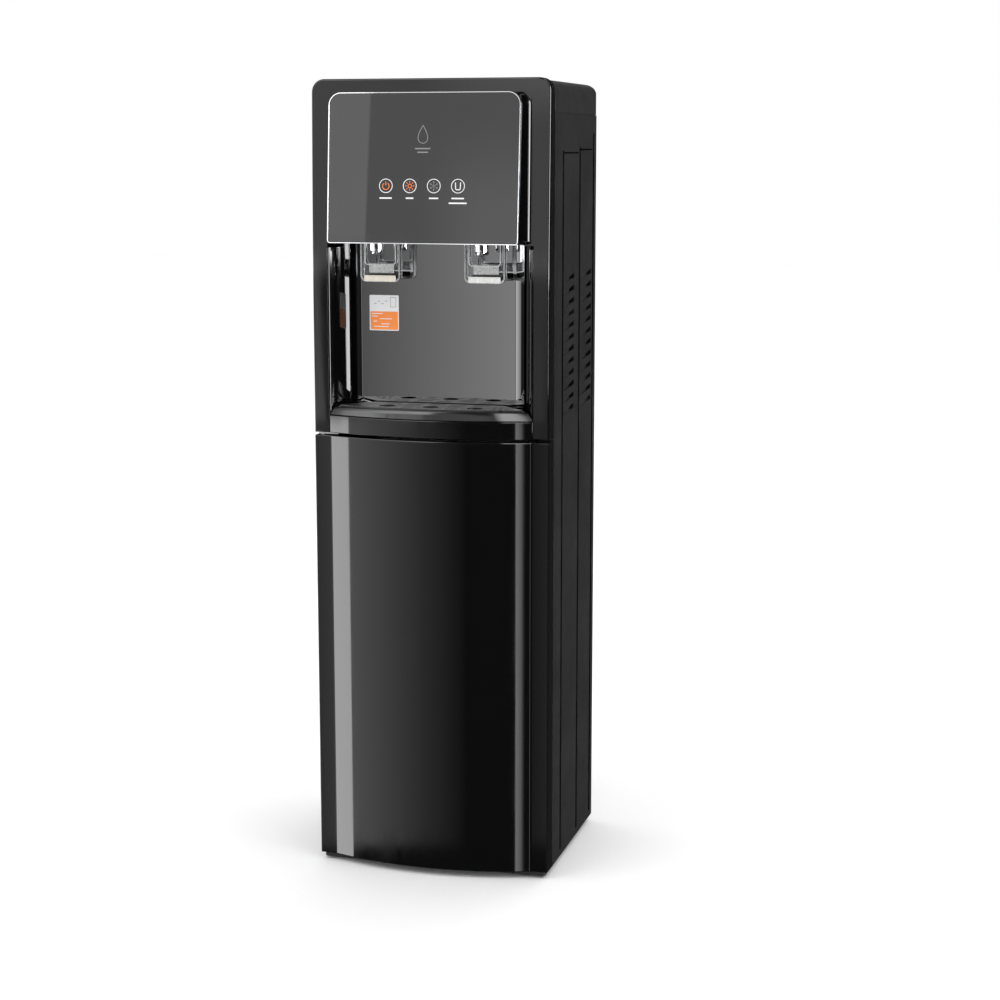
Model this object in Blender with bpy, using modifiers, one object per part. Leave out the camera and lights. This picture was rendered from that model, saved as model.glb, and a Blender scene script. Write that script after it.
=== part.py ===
"""Floor-standing point-of-use water dispenser, modelled as separate pieces.

Frame: +X to the right as seen from the front, +Y to the back, +Z up.
The origin is on the floor, at the centre of the object's outline.
"""

import math

import bmesh
import bpy
from mathutils import Matrix, Vector

# Overall size
WIDTH = 0.310
DEPTH = 0.288
HEIGHT = 1.020
REAR_Y = DEPTH / 2
FRONT_Y = -DEPTH / 2

# Clearances and wall thicknesses
GAP = 0.0003
SHEET = 0.001
WALL = 0.003

# Front: flat cheeks on both sides of a bulged middle
CHEEK_Y = FRONT_Y + 0.032
CHEEK_X = 0.135
BULGE = 0.023
BULGE_RADIUS = (CHEEK_X**2 + BULGE**2) / (2 * BULGE)
COVER_REAR_Y = CHEEK_Y + 0.026
BODY_FRONT_Y = COVER_REAR_Y + 0.002

# Heights
FOOT_HEIGHT = 0.003
PLINTH_TOP = 0.0085
DOOR_BOTTOM = 0.0095
DOOR_TOP = 0.5710
COVER_BOTTOM = 0.5745
SHELF_Z = 0.5970
TRAY_TOP = 0.6085
CAP_BOTTOM = 0.978
CAP_TOP = 1.017

# Upper front cover: its face leans back above the niche
LEAN_START = 0.810
LEAN = 0.006
COVER_RADIUS = 0.016

# Dispensing niche
NICHE_Y = CHEEK_Y + 0.050
NICHE_HALF_WIDTH = 0.117
NICHE_TOP = 0.8155
LINER_WALL = 0.002
SPLASH_THICKNESS = 0.0015

# Control module: a panel that leans back, standing proud of the front cover
MODULE_HALF_WIDTH = 0.1235
MODULE_BOTTOM = 0.818
MODULE_HEIGHT = 0.185
MODULE_LEAN = 0.014
MODULE_RADIUS = 0.016
MODULE_FLARE = 0.009
MODULE_WALL = 0.0025
TRIM_WIDTH = 0.0018
PANEL_DEPTH = 0.003
MODULE_ANGLE = math.atan2(MODULE_LEAN, MODULE_HEIGHT)
MODULE_SLOPE = math.hypot(MODULE_LEAN, MODULE_HEIGHT)
MODULE_OPENING_X = 0.122
MODULE_OPENING_TOP = 0.988

# Taps
TAP_X = 0.0687
SPOUT_Y = CHEEK_Y
SPOUT_RADIUS = 0.009
SPOUT_BOTTOM = 0.8035
SPOUT_TOP = 0.8262
BRACKET_Z = 0.8208
BRACKET_THICKNESS = 0.0022
LEVER_Y = CHEEK_Y + 0.019
LEVER_BOTTOM = 0.768
LEVER_PIVOT_Z = 0.838
LEVER_HALF_WIDTH = 0.026
LEVER_THICKNESS = 0.004
PIN_RADIUS = 0.0015

# Door and its hinge
DOOR_REAR_Y = CHEEK_Y + 0.025
DOOR_LINING_Y = CHEEK_Y + 0.0215
HINGE_X = -WIDTH / 2 + 0.0075
HINGE_Y = CHEEK_Y + 0.0115
HINGE_PIN_RADIUS = 0.0025
CHEEK_FALL = 0.0006

# Inside and back of the cabinet
INSIDE_X = WIDTH / 2 - SHEET - GAP
REAR_PANEL_Y = REAR_Y - 0.0125
REAR_SPLIT = 0.305
PARTITION_Y = -0.010
TANK_SHELF_Z = 0.600
PORT_Z = 0.337
PORT_RADIUS = 0.0065
DRAIN_X = (-0.020, 0.015)
INLET_X = 0.055
GLAND_X = 0.105
SWITCH_X = (-0.100, -0.070)

FINISHES = {
    "black_gloss": ((0.008, 0.008, 0.009), 0.08, 0.0),
    "black_satin": ((0.020, 0.020, 0.021), 0.40, 0.0),
    "black_sheet": ((0.026, 0.026, 0.027), 0.45, 0.3),
    "graphite": ((0.085, 0.085, 0.088), 0.18, 0.2),
    "chrome": ((0.80, 0.80, 0.82), 0.06, 1.0),
    "clear": ((0.85, 0.88, 0.90), 0.05, 0.0),
    "white_plastic": ((0.80, 0.80, 0.78), 0.35, 0.0),
    "rubber": ((0.03, 0.03, 0.03), 0.80, 0.0),
    "stainless": ((0.62, 0.62, 0.62), 0.25, 1.0),
    "copper": ((0.72, 0.35, 0.20), 0.30, 1.0),
    "foam": ((0.75, 0.75, 0.72), 0.90, 0.0),
    "circuit_board": ((0.02, 0.18, 0.08), 0.50, 0.0),
    "red_plastic": ((0.55, 0.03, 0.02), 0.30, 0.0),
    "green_plastic": ((0.03, 0.30, 0.08), 0.30, 0.0),
    "silicone": ((0.80, 0.80, 0.78), 0.45, 0.0),
}

# Columns are where an outline's own right, up and outward directions go.
PLANES = {
    "X": Matrix(((0, 0, 1, 0), (1, 0, 0, 0), (0, 1, 0, 0), (0, 0, 0, 1))),
    "Y": Matrix(((1, 0, 0, 0), (0, 0, -1, 0), (0, 1, 0, 0), (0, 0, 0, 1))),
    "Z": Matrix.Identity(4),
}


def clear_scene():
    for obj in list(bpy.data.objects):
        bpy.data.objects.remove(obj, do_unlink=True)


def new_collection(name):
    collection = bpy.data.collections.new(name)
    bpy.context.scene.collection.children.link(collection)
    return collection


clear_scene()
PARTS = new_collection("water_dispenser")
CUTTERS = new_collection("cutters")


def finish_of(name):
    """The Principled material of that finish, made once."""
    found = bpy.data.materials.get(name)
    if found:
        return found
    colour, roughness, metallic = FINISHES[name]
    made = bpy.data.materials.new(name)
    made.use_nodes = True
    shader = made.node_tree.nodes["Principled BSDF"]
    shader.inputs["Base Color"].default_value = (*colour, 1.0)
    shader.inputs["Roughness"].default_value = roughness
    shader.inputs["Metallic"].default_value = metallic
    return made


def add(name, mesh, finish=None, smooth=False):
    """A mesh as an object: a part if it has a finish, and otherwise a cutter."""
    obj = bpy.data.objects.new(name, mesh)
    if finish:
        PARTS.objects.link(obj)
        mesh.materials.append(finish_of(finish))
    else:
        CUTTERS.objects.link(obj)
        obj.hide_render = True
        obj.display_type = "WIRE"
    if smooth:
        mesh.shade_smooth()
        mesh.set_sharp_from_angle(angle=math.radians(35))
    return obj


def combine(obj, operation, others):
    for other in others:
        modifier = obj.modifiers.new(operation.lower(), "BOOLEAN")
        modifier.operation = operation
        modifier.solver = "EXACT"
        modifier.object = other
    return obj


def cut(obj, *cutters):
    return combine(obj, "DIFFERENCE", cutters)


def join(obj, *others):
    return combine(obj, "UNION", others)


def keep_inside(obj, other):
    return combine(obj, "INTERSECT", [other])


def box(name, low, high, finish=None, place=None):
    """A block between two corners."""
    low, high = Vector(low), Vector(high)
    shape = bmesh.new()
    bmesh.ops.create_cube(shape, size=1.0)
    bmesh.ops.scale(shape, vec=high - low, verts=shape.verts)
    bmesh.ops.translate(shape, vec=(low + high) / 2, verts=shape.verts)
    mesh = bpy.data.meshes.new(name)
    shape.to_mesh(mesh)
    shape.free()
    if place:
        mesh.transform(place)
    return add(name, mesh, finish)


def mesh_of(curve_object):
    """The evaluated curve as a mesh in world space with its caps welded. The curve is removed."""
    bpy.context.view_layer.update()
    graph = bpy.context.evaluated_depsgraph_get()
    mesh = bpy.data.meshes.new_from_object(curve_object.evaluated_get(graph))
    mesh.transform(curve_object.matrix_world)
    shape = bmesh.new()
    shape.from_mesh(mesh)
    bmesh.ops.remove_doubles(shape, verts=shape.verts, dist=1e-6)
    shape.to_mesh(mesh)
    shape.free()
    mesh.materials.clear()
    bpy.data.objects.remove(curve_object, do_unlink=True)
    return mesh


def prism(name, loops, start, end, axis="Z", finish=None, place=None, smooth=False):
    """Flat outlines extruded from start to end along an axis. An outline inside another is a hole.

    Across X an outline is drawn in (y, z), across Y in (x, z), and across Z in (x, y).
    """
    curve = bpy.data.curves.new(name, "CURVE")
    curve.dimensions = "2D"
    curve.fill_mode = "BOTH"
    curve.extrude = (end - start) / 2
    for loop in loops if isinstance(loops[0], list) else [loops]:
        spline = curve.splines.new("POLY")
        spline.points.add(len(loop) - 1)
        for point, (right, up) in zip(spline.points, loop):
            point.co = (right, up, 0.0, 1.0)
        spline.use_cyclic_u = True
    obj = bpy.data.objects.new(name + "_outline", curve)
    CUTTERS.objects.link(obj)
    outward = (start + end) / 2 * (-1 if axis == "Y" else 1)
    obj.matrix_world = (place or Matrix.Identity(4)) @ PLANES[axis] @ Matrix.Translation((0, 0, outward))
    return add(name, mesh_of(obj), finish, smooth)


def turned(name, profile, place, finish=None, steps=24):
    """A profile of (radius, height), down its outer side from the top, turned about the place's Z.

    A profile off the axis is closed into a ring.
    """
    mesh = bpy.data.meshes.new(name)
    edges = [(i, i + 1) for i in range(len(profile) - 1)]
    if profile[0][0]:
        edges.append((len(profile) - 1, 0))
    mesh.from_pydata([(radius, 0.0, height) for radius, height in profile], edges, [])
    obj = add(name, mesh, finish)
    obj.matrix_world = place if isinstance(place, Matrix) else Matrix.Translation(place)
    screw = obj.modifiers.new("turn", "SCREW")
    screw.steps = screw.render_steps = steps
    screw.use_merge_vertices = True
    screw.merge_threshold = 1e-5
    screw.use_smooth_shade = True
    return obj


def rod(name, radius, start, end, finish=None, sides=16):
    """A round bar between two points."""
    start, end = Vector(start), Vector(end)
    turn = (end - start).to_track_quat("Z", "Y").to_matrix().to_4x4()
    shape = bmesh.new()
    bmesh.ops.create_cone(
        shape,
        cap_ends=True,
        segments=sides,
        radius1=radius,
        radius2=radius,
        depth=(end - start).length,
        matrix=Matrix.Translation((start + end) / 2) @ turn,
    )
    mesh = bpy.data.meshes.new(name)
    shape.to_mesh(mesh)
    shape.free()
    return add(name, mesh, finish, smooth=True)


def smooth_path(points, steps=4):
    """Points along a smooth curve that passes through the given ones."""
    points = [Vector(p) for p in points]
    ends = [points[0] * 2 - points[1], *points, points[-1] * 2 - points[-2]]
    found = []
    for a, b, c, d in zip(ends, ends[1:], ends[2:], ends[3:]):
        for i in range(steps):
            t = i / steps
            cubic = 3 * b - a - 3 * c + d
            found.append(0.5 * (2 * b + (c - a) * t + (2 * a - 5 * b + 4 * c - d) * t**2 + cubic * t**3))
    return [*found, points[-1]]


def tube(name, points, radius, finish):
    """A round tube along the points."""
    curve = bpy.data.curves.new(name, "CURVE")
    curve.dimensions = "3D"
    curve.bevel_depth = radius
    curve.bevel_resolution = 2
    curve.use_fill_caps = True
    spline = curve.splines.new("POLY")
    spline.points.add(len(points) - 1)
    for point, where in zip(spline.points, points):
        point.co = (*where, 1.0)
    curve.materials.append(finish_of(finish))
    obj = bpy.data.objects.new(name, curve)
    PARTS.objects.link(obj)
    return obj


def arc(centre, radius, first, last, steps):
    """Points on an arc, with angles in degrees from the outline's right."""
    angles = [math.radians(first + (last - first) * i / steps) for i in range(steps + 1)]
    return [(centre[0] + radius * math.cos(a), centre[1] + radius * math.sin(a)) for a in angles]


def circle(centre, radius, steps=16):
    return arc(centre, radius, 0, 360, steps)[:-1]


def rounded(low, high, radii=(0.0,) * 4, steps=4):
    """A rectangle with its corners rounded, in the order low right, high right, high left, low left."""
    (left, bottom), (right, top) = low, high
    corners = (
        (right, bottom, -1, 1, -90),
        (right, top, -1, -1, 0),
        (left, top, 1, -1, 90),
        (left, bottom, 1, 1, 180),
    )
    points = []
    for (x, y, inward_x, inward_y, first), radius in zip(corners, radii):
        if radius:
            points += arc((x + inward_x * radius, y + inward_y * radius), radius, first, first + 90, steps)
        else:
            points.append((x, y))
    return points


def bulge_arc(inset=0.0, steps=16):
    """The bulged middle of the front, from left to right, in plan."""
    radius = BULGE_RADIUS - inset
    rise = BULGE_RADIUS - BULGE - inset
    reach = math.degrees(math.acos(rise / radius))
    return arc((0.0, CHEEK_Y - BULGE + BULGE_RADIUS), radius, 270 - reach, 270 + reach, steps)


def cover_front_y(z):
    """Where the upper front cover's face is at a height."""
    return CHEEK_Y + LEAN * max(0.0, z - LEAN_START) / (HEIGHT - LEAN_START)


def pivot(name, where, *objects):
    """An empty on a joint's axis, with the pieces that move about it as its children."""
    empty = bpy.data.objects.new(name, None)
    PARTS.objects.link(empty)
    empty.location = where
    for obj in objects:
        obj.parent = empty
        obj.matrix_parent_inverse = Matrix.Translation(where).inverted()
    return empty


# --- Base and cabinet ---------------------------------------------------------------------------

FOOT_RADIUS = 0.012
FOOT_X = 0.122
FOOT_Y = (-0.082, 0.122)
PLINTH_INSET = 0.004
PAN_WALL = 0.0012
PAN_BOTTOM = PLINTH_TOP + GAP
PAN_TOP = 0.030
FLANGE = 0.018


def base():
    half = WIDTH / 2 - PLINTH_INSET
    outline = rounded((-half, CHEEK_Y + PLINTH_INSET), (half, REAR_Y - PLINTH_INSET), (0.003,) * 4, steps=2)
    prism("plinth", outline, FOOT_HEIGHT + GAP, PLINTH_TOP, finish="black_satin")
    for side, x in (("left", -FOOT_X), ("right", FOOT_X)):
        for end, y in zip(("front", "rear"), FOOT_Y):
            rod(f"foot_{end}_{side}", FOOT_RADIUS, (x, y, 0.0), (x, y, FOOT_HEIGHT), "rubber")
    front, rear = BODY_FRONT_Y + SHEET + GAP, REAR_PANEL_Y - GAP
    half = INSIDE_X - GAP
    pan = box("base_pan", (-half, front, PAN_BOTTOM), (half, rear, PAN_TOP), "black_sheet")
    low = (-half + PAN_WALL, front + PAN_WALL, PAN_BOTTOM + PAN_WALL)
    high = (half - PAN_WALL, rear - PAN_WALL, PAN_TOP + 0.01)
    cut(pan, box("base_pan_inside", low, high))


LOUVRE_COLUMNS = (CHEEK_Y + 0.081, CHEEK_Y + 0.179)
LOUVRE_LENGTH = 0.052
LOUVRE_RISE = 0.008
LOUVRE_HEIGHT = 0.0035
LOUVRE_PITCH = 0.0154
LOUVRE_FIRST = 0.596
LOUVRE_COUNT = 12


def louvre_loops():
    """The slots of both columns, each rising towards the back."""
    loops = []
    for y in LOUVRE_COLUMNS:
        for i in range(LOUVRE_COUNT):
            z = LOUVRE_FIRST + i * LOUVRE_PITCH
            end_y, end_z = y + LOUVRE_LENGTH, z + LOUVRE_RISE
            loops.append([(y, z), (end_y, end_z), (end_y, end_z + LOUVRE_HEIGHT), (y, z + LOUVRE_HEIGHT)])
    return loops


def side_panel(name, side):
    """A steel sheet folded inwards along its front and rear edges, with louvres at the upper back."""
    outer, inner, tip = (side * x for x in (WIDTH / 2, WIDTH / 2 - SHEET, WIDTH / 2 - FLANGE))
    front, rear = BODY_FRONT_Y, REAR_Y
    outline = [
        (outer, front),
        (outer, rear),
        (tip, rear),
        (tip, rear - SHEET),
        (inner, rear - SHEET),
        (inner, front + SHEET),
        (tip, front + SHEET),
        (tip, front),
    ]
    panel = prism(name, outline, PAN_BOTTOM, CAP_BOTTOM - GAP, finish="black_sheet")
    centre = side * WIDTH / 2
    slots = [
        prism(f"{name}_louvre", loop, centre - 0.005, centre + 0.005, axis="X") for loop in louvre_loops()
    ]
    cut(panel, *slots)


VENT_ROWS = 9
VENT_PITCH = 0.024
VENT_FIRST = 0.065
VENT_SIZE = (0.090, 0.006)
SWITCH_WINDOW = ((-0.1145, PORT_Z - 0.0135), (-0.0555, PORT_Z + 0.0135))


def rear_panels():
    half = INSIDE_X - GAP
    faces = REAR_PANEL_Y, REAR_PANEL_Y + SHEET
    ports = [circle((x, PORT_Z), PORT_RADIUS) for x in (*DRAIN_X, INLET_X, GLAND_X)]
    upper = rounded((-half, REAR_SPLIT), (half, CAP_BOTTOM - GAP))
    prism("rear_panel", [upper, rounded(*SWITCH_WINDOW), *ports], *faces, axis="Y", finish="black_sheet")
    slots = []
    for row in range(VENT_ROWS):
        z = VENT_FIRST + row * VENT_PITCH
        for x in (-0.105, 0.015):
            slots.append(rounded((x, z), (x + VENT_SIZE[0], z + VENT_SIZE[1])))
    lower = rounded((-half, PAN_BOTTOM), (half, REAR_SPLIT - GAP))
    prism("rear_lower_cover", [lower, *slots], *faces, axis="Y", finish="black_sheet")


PIPE_HOLE_RADIUS = 0.0055
PIPE_HOLE_X = 0.105
PIPE_HOLE_Z = 0.505
FEED_HOLE = (-0.014, 0.030)
SUCTION_HOLE = (0.060, 0.085)


def inner_frame():
    """The steel partition behind the filters, and the shelf that carries the tanks."""
    half = INSIDE_X - GAP
    low = (-half, PARTITION_Y, PAN_TOP + GAP)
    high = (half, PARTITION_Y + SHEET, TANK_SHELF_Z - 0.0025)
    wall = box("partition", low, high, "stainless")
    for x in (-PIPE_HOLE_X, PIPE_HOLE_X):
        start, end = (x, PARTITION_Y - 0.01, PIPE_HOLE_Z), (x, PARTITION_Y + 0.01, PIPE_HOLE_Z)
        cut(wall, rod("partition_hole", PIPE_HOLE_RADIUS, start, end))
    low, high = (-half, NICHE_Y + 0.004, TANK_SHELF_Z - 0.0022), (half, REAR_PANEL_Y - GAP, TANK_SHELF_Z)
    shelf = box("tank_shelf", low, high, "stainless")
    for x, y in (FEED_HOLE, SUCTION_HOLE):
        cut(shelf, rod("shelf_hole", PIPE_HOLE_RADIUS, (x, y, 0.590), (x, y, 0.610)))


CAP_CORNER = 0.0035
CAP_THICKNESS = 0.0025
CAP_SIDE_FALL = 0.009
CAP_REAR_FALL = 0.026
CAP_DROP = 0.011


def cap_shape(name, inset, bottom, finish=None):
    """The lid's outer shape, or the space in it: its top falls away in a curve at the sides and back."""
    half, rear, top = WIDTH / 2 - inset, REAR_Y - inset, CAP_TOP - inset
    front = COVER_REAR_Y + 0.0005 - 4 * inset
    corner = CAP_CORNER - inset
    plan = rounded((-half, front), (half, rear), (0.0, corner, corner, 0.0), steps=2)
    shape = prism(name, plan, bottom, top, finish=finish)
    falls = [(math.sin(math.radians(angle)), math.cos(math.radians(angle))) for angle in range(0, 91, 15)]
    right = [(half - CAP_SIDE_FALL * (1 - c), top - CAP_DROP * (1 - s)) for s, c in falls]
    across = [(-half, bottom - 0.01), (half, bottom - 0.01), *right]
    across += [(-x, z) for x, z in right[::-1]]
    keep_inside(shape, prism(name + "_sides", across, front - 0.01, rear + 0.01, axis="Y"))
    back = [(rear - CAP_REAR_FALL * (1 - c), top - CAP_DROP * (1 - s)) for s, c in falls]
    along = [(front - 0.01, bottom - 0.01), (rear, bottom - 0.01), *back, (front - 0.01, top)]
    return keep_inside(shape, prism(name + "_back", along, -half - 0.01, half + 0.01, axis="X"))


def top_cap():
    """The hollow lid behind the front cover."""
    cap = cap_shape("top_cap", 0.0, CAP_BOTTOM, "black_satin")
    cut(cap, cap_shape("top_cap_inside", CAP_THICKNESS, CAP_BOTTOM - 0.01))


# --- Front cover, niche and tray ------------------------------------------------------------------


def cover_solid(name, inset, finish=None):
    """The upper front cover's outer shape, or the space inside it, moved inwards by the wall."""
    half, top, bottom = WIDTH / 2 - inset, HEIGHT - inset, COVER_BOTTOM + inset
    rear = COVER_REAR_Y + (0.01 if inset else 0.0)
    side = [
        (cover_front_y(0.0) + inset, bottom),
        (rear, bottom),
        (rear, top),
        (cover_front_y(HEIGHT) + inset, top),
        (cover_front_y(LEAN_START) + inset, LEAN_START),
    ]
    solid = prism(name, side, -half, half, axis="X", finish=finish)
    radius = COVER_RADIUS - inset
    face = rounded((-half, bottom), (half, top), (0.0, radius, radius, 0.0))
    return keep_inside(solid, prism(name + "_face", face, CHEEK_Y - 0.02, rear + 0.01, axis="Y"))


def front_cover():
    cover = cover_solid("front_cover", 0.0, "black_gloss")
    cut(cover, cover_solid("front_cover_inside", WALL))
    opening = [
        (-CHEEK_X, COVER_BOTTOM - 0.01),
        (CHEEK_X, COVER_BOTTOM - 0.01),
        (CHEEK_X, NICHE_TOP),
        (MODULE_OPENING_X, NICHE_TOP),
        (MODULE_OPENING_X, MODULE_OPENING_TOP),
        (-MODULE_OPENING_X, MODULE_OPENING_TOP),
        (-MODULE_OPENING_X, NICHE_TOP),
        (-CHEEK_X, NICHE_TOP),
    ]
    cut(cover, prism("front_opening", opening, CHEEK_Y - 0.02, COVER_REAR_Y + 0.02, axis="Y"))


def niche_plan(offset, front_y):
    """The niche's plan: side walls that sweep in to a flat back wall."""
    sweep = NICHE_Y - CHEEK_Y - WALL
    span = CHEEK_X - NICHE_HALF_WIDTH
    steps = 5
    left = []
    for i in range(steps + 1):
        angle = math.radians(90 * i / steps)
        x = -CHEEK_X - offset + span * math.sin(angle) ** 1.4
        left.append((x, CHEEK_Y + WALL + GAP + (sweep - GAP + offset) * (1 - math.cos(angle) ** 1.4)))
    if front_y < left[0][1]:
        left.insert(0, (left[0][0], front_y))
    return left + [(-x, y) for x, y in reversed(left)]


def niche():
    front = CHEEK_Y + WALL + GAP
    top = NICHE_TOP + LINER_WALL
    liner = prism("niche_liner", niche_plan(LINER_WALL, front), SHELF_Z + GAP, top, finish="black_gloss")
    inside = prism("niche_space", niche_plan(0.0, front - 0.01), SHELF_Z - 0.01, NICHE_TOP)
    low, high = (-0.2, front - 0.01, NICHE_TOP - 0.005), (0.2, LEVER_Y + 0.009, NICHE_TOP + 0.01)
    cut(liner, inside, box("niche_ceiling_front", low, high))
    half = NICHE_HALF_WIDTH - 0.0035
    face = NICHE_Y - GAP - SPLASH_THICKNESS
    low, high = (-half, SHELF_Z + 0.001), (half, NICHE_TOP - 0.001)
    prism("splash_panel", rounded(low, high), face, NICHE_Y - GAP, axis="Y", finish="graphite")


TRAY_WALL = 0.0014
TRAY_REAR_Y = NICHE_Y - 0.004
TRAY_REAR_X = 0.101
TRAY_GAP = 0.0006
GRILLE_BOTTOM = TRAY_TOP - 0.0012
GRILLE_TOP = TRAY_TOP + 0.003
SLANT = 3
GRILLE_HOLES = (-0.058, 0.0, 0.058)
GRILLE_HOLE_RADIUS = 0.0105
GRILLE_HOLE_Y = CHEEK_Y + 0.004


def tray_plan(inset):
    """The drip tray's plan: the front bulge, then sides that narrow towards the niche's back."""
    narrowing = 1 - (TRAY_GAP + SLANT * inset) / CHEEK_X
    front = [(x * narrowing, y) for x, y in bulge_arc(inset + TRAY_GAP)]
    rear_x, rear_y = TRAY_REAR_X - SLANT * inset, TRAY_REAR_Y - inset
    return [*front, (rear_x, rear_y), (-rear_x, rear_y)]


def shelf_plan(inset, rear_y):
    """The tray shelf's plan: the front bulge, drawn in to leave a gap at the cheeks."""
    half = CHEEK_X - GAP - inset
    front = [(x * half / CHEEK_X, y) for x, y in bulge_arc(inset)]
    return [*front, (half, rear_y), (-half, rear_y)]


def tray():
    """The shelf over the door, the dish that slides out of the niche, and the grille on the dish."""
    skirt = shelf_plan(0.0, NICHE_Y - 0.0005)
    fascia = prism("tray_fascia", skirt, COVER_BOTTOM, SHELF_Z, finish="black_gloss")
    hollow = shelf_plan(WALL, NICHE_Y + 0.01)
    cut(fascia, prism("tray_fascia_inside", hollow, COVER_BOTTOM - 0.01, SHELF_Z - 0.0025))
    floor = SHELF_Z + GAP
    dish = prism("drip_tray", tray_plan(0.0), floor, TRAY_TOP, finish="black_gloss")
    cut(dish, prism("drip_tray_inside", tray_plan(TRAY_WALL), floor + 0.0012, TRAY_TOP + 0.01))
    plan = tray_plan(TRAY_WALL + 2.5 * GAP)
    grille = prism("drip_grille", plan, GRILLE_BOTTOM, GRILLE_TOP, finish="black_satin")
    y, radius = GRILLE_HOLE_Y, GRILLE_HOLE_RADIUS
    for x in GRILLE_HOLES:
        cut(grille, rod("grille_hole", radius, (x, y, TRAY_TOP - 0.01), (x, y, TRAY_TOP + 0.01)))
    pivot("tray_slide", (0.0, CHEEK_Y, SHELF_Z), dish, grille)


# --- Control module and taps ----------------------------------------------------------------------

MODULE_PLACE = Matrix.Translation((0.0, FRONT_Y, MODULE_BOTTOM)) @ Matrix.Rotation(-MODULE_ANGLE, 4, "X")
INDICATOR_UP = 0.071
BOARD_DEPTH = 0.007


def module_outline(inset, top=MODULE_SLOPE, bottom=0.0):
    half, radius = MODULE_HALF_WIDTH - inset, MODULE_RADIUS - inset
    low_radius = 0.004 - inset
    return rounded((-half, bottom + inset), (half, top - inset), (low_radius, radius, radius, low_radius))


def module():
    """The housing's walls run from the sloped display back to the front cover, getting wider."""
    top, bottom = MODULE_BOTTOM + MODULE_HEIGHT, MODULE_BOTTOM
    loops = [module_outline(0.0, top, bottom), module_outline(MODULE_WALL, top, bottom)]
    housing = prism("module_housing", loops, FRONT_Y, CHEEK_Y, axis="Y", finish="black_gloss", smooth=True)
    for vertex in housing.data.vertices:
        x, y, z = vertex.co
        if y < (FRONT_Y + CHEEK_Y) / 2:
            y = FRONT_Y + (z - MODULE_BOTTOM) * MODULE_LEAN / MODULE_HEIGHT + PANEL_DEPTH + 0.0008
        else:
            x += math.copysign(MODULE_FLARE, x)
            y = cover_front_y(z) - GAP
        vertex.co = (x, y, z)
    for x in (-TAP_X, TAP_X):
        start, end = (x, SPOUT_Y, MODULE_BOTTOM - 0.018), (x, SPOUT_Y, MODULE_BOTTOM + 0.012)
        cut(housing, rod("spout_hole", SPOUT_RADIUS + 0.0005, start, end, sides=20))
    trim = [module_outline(0.0), module_outline(TRIM_WIDTH)]
    prism("module_trim", trim, 0.0, PANEL_DEPTH + 0.0004, axis="Y", finish="chrome", place=MODULE_PLACE)
    glass = module_outline(TRIM_WIDTH + GAP)
    prism("display_panel", glass, 0.0002, PANEL_DEPTH, axis="Y", finish="black_gloss", place=MODULE_PLACE)
    low = (-0.062, BOARD_DEPTH, INDICATOR_UP - 0.022)
    high = (0.062, BOARD_DEPTH + 0.0016, INDICATOR_UP + 0.022)
    box("display_board", low, high, "circuit_board", place=MODULE_PLACE)


def tap_bracket():
    """The plate inside the module that carries both spouts, their levers' pins and the switches."""
    top = BRACKET_Z + BRACKET_THICKNESS
    low, high = (-0.117, SPOUT_Y - 0.015, BRACKET_Z), (0.117, LEVER_Y + 0.016, top)
    bracket = box("tap_bracket", low, high, "stainless")
    for tap in (-TAP_X, TAP_X):
        for side in (-1, 1):
            x = tap + side * (LEVER_HALF_WIDTH + 0.003)
            ear = box(
                "pin_ear",
                (x - 0.0015, LEVER_Y - 0.006, top - 0.001),
                (x + 0.0015, LEVER_Y + 0.006, LEVER_PIVOT_Z + 0.005),
            )
            join(bracket, ear)
        start, end = (tap - 0.04, LEVER_Y, LEVER_PIVOT_Z), (tap + 0.04, LEVER_Y, LEVER_PIVOT_Z)
        slot = box(
            "lever_slot",
            (tap - LEVER_HALF_WIDTH - 0.001, LEVER_Y - 0.004, BRACKET_Z - 0.001),
            (tap + LEVER_HALF_WIDTH + 0.001, LEVER_Y + 0.0085, top + 0.001),
        )
        hole = rod("spout_seat", SPOUT_RADIUS + GAP, (tap, SPOUT_Y, 0.81), (tap, SPOUT_Y, 0.83), sides=20)
        cut(bracket, rod("pin_hole", PIN_RADIUS + GAP, start, end), slot, hole)


SPOUT_BORE = 0.004
LEVER_CORNER = 0.010
WINDOW_HALF_WIDTH = 0.0195
WINDOW_TOP = 0.812
BARREL_RADIUS = 0.004
PAD_TOP = 0.802


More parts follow.
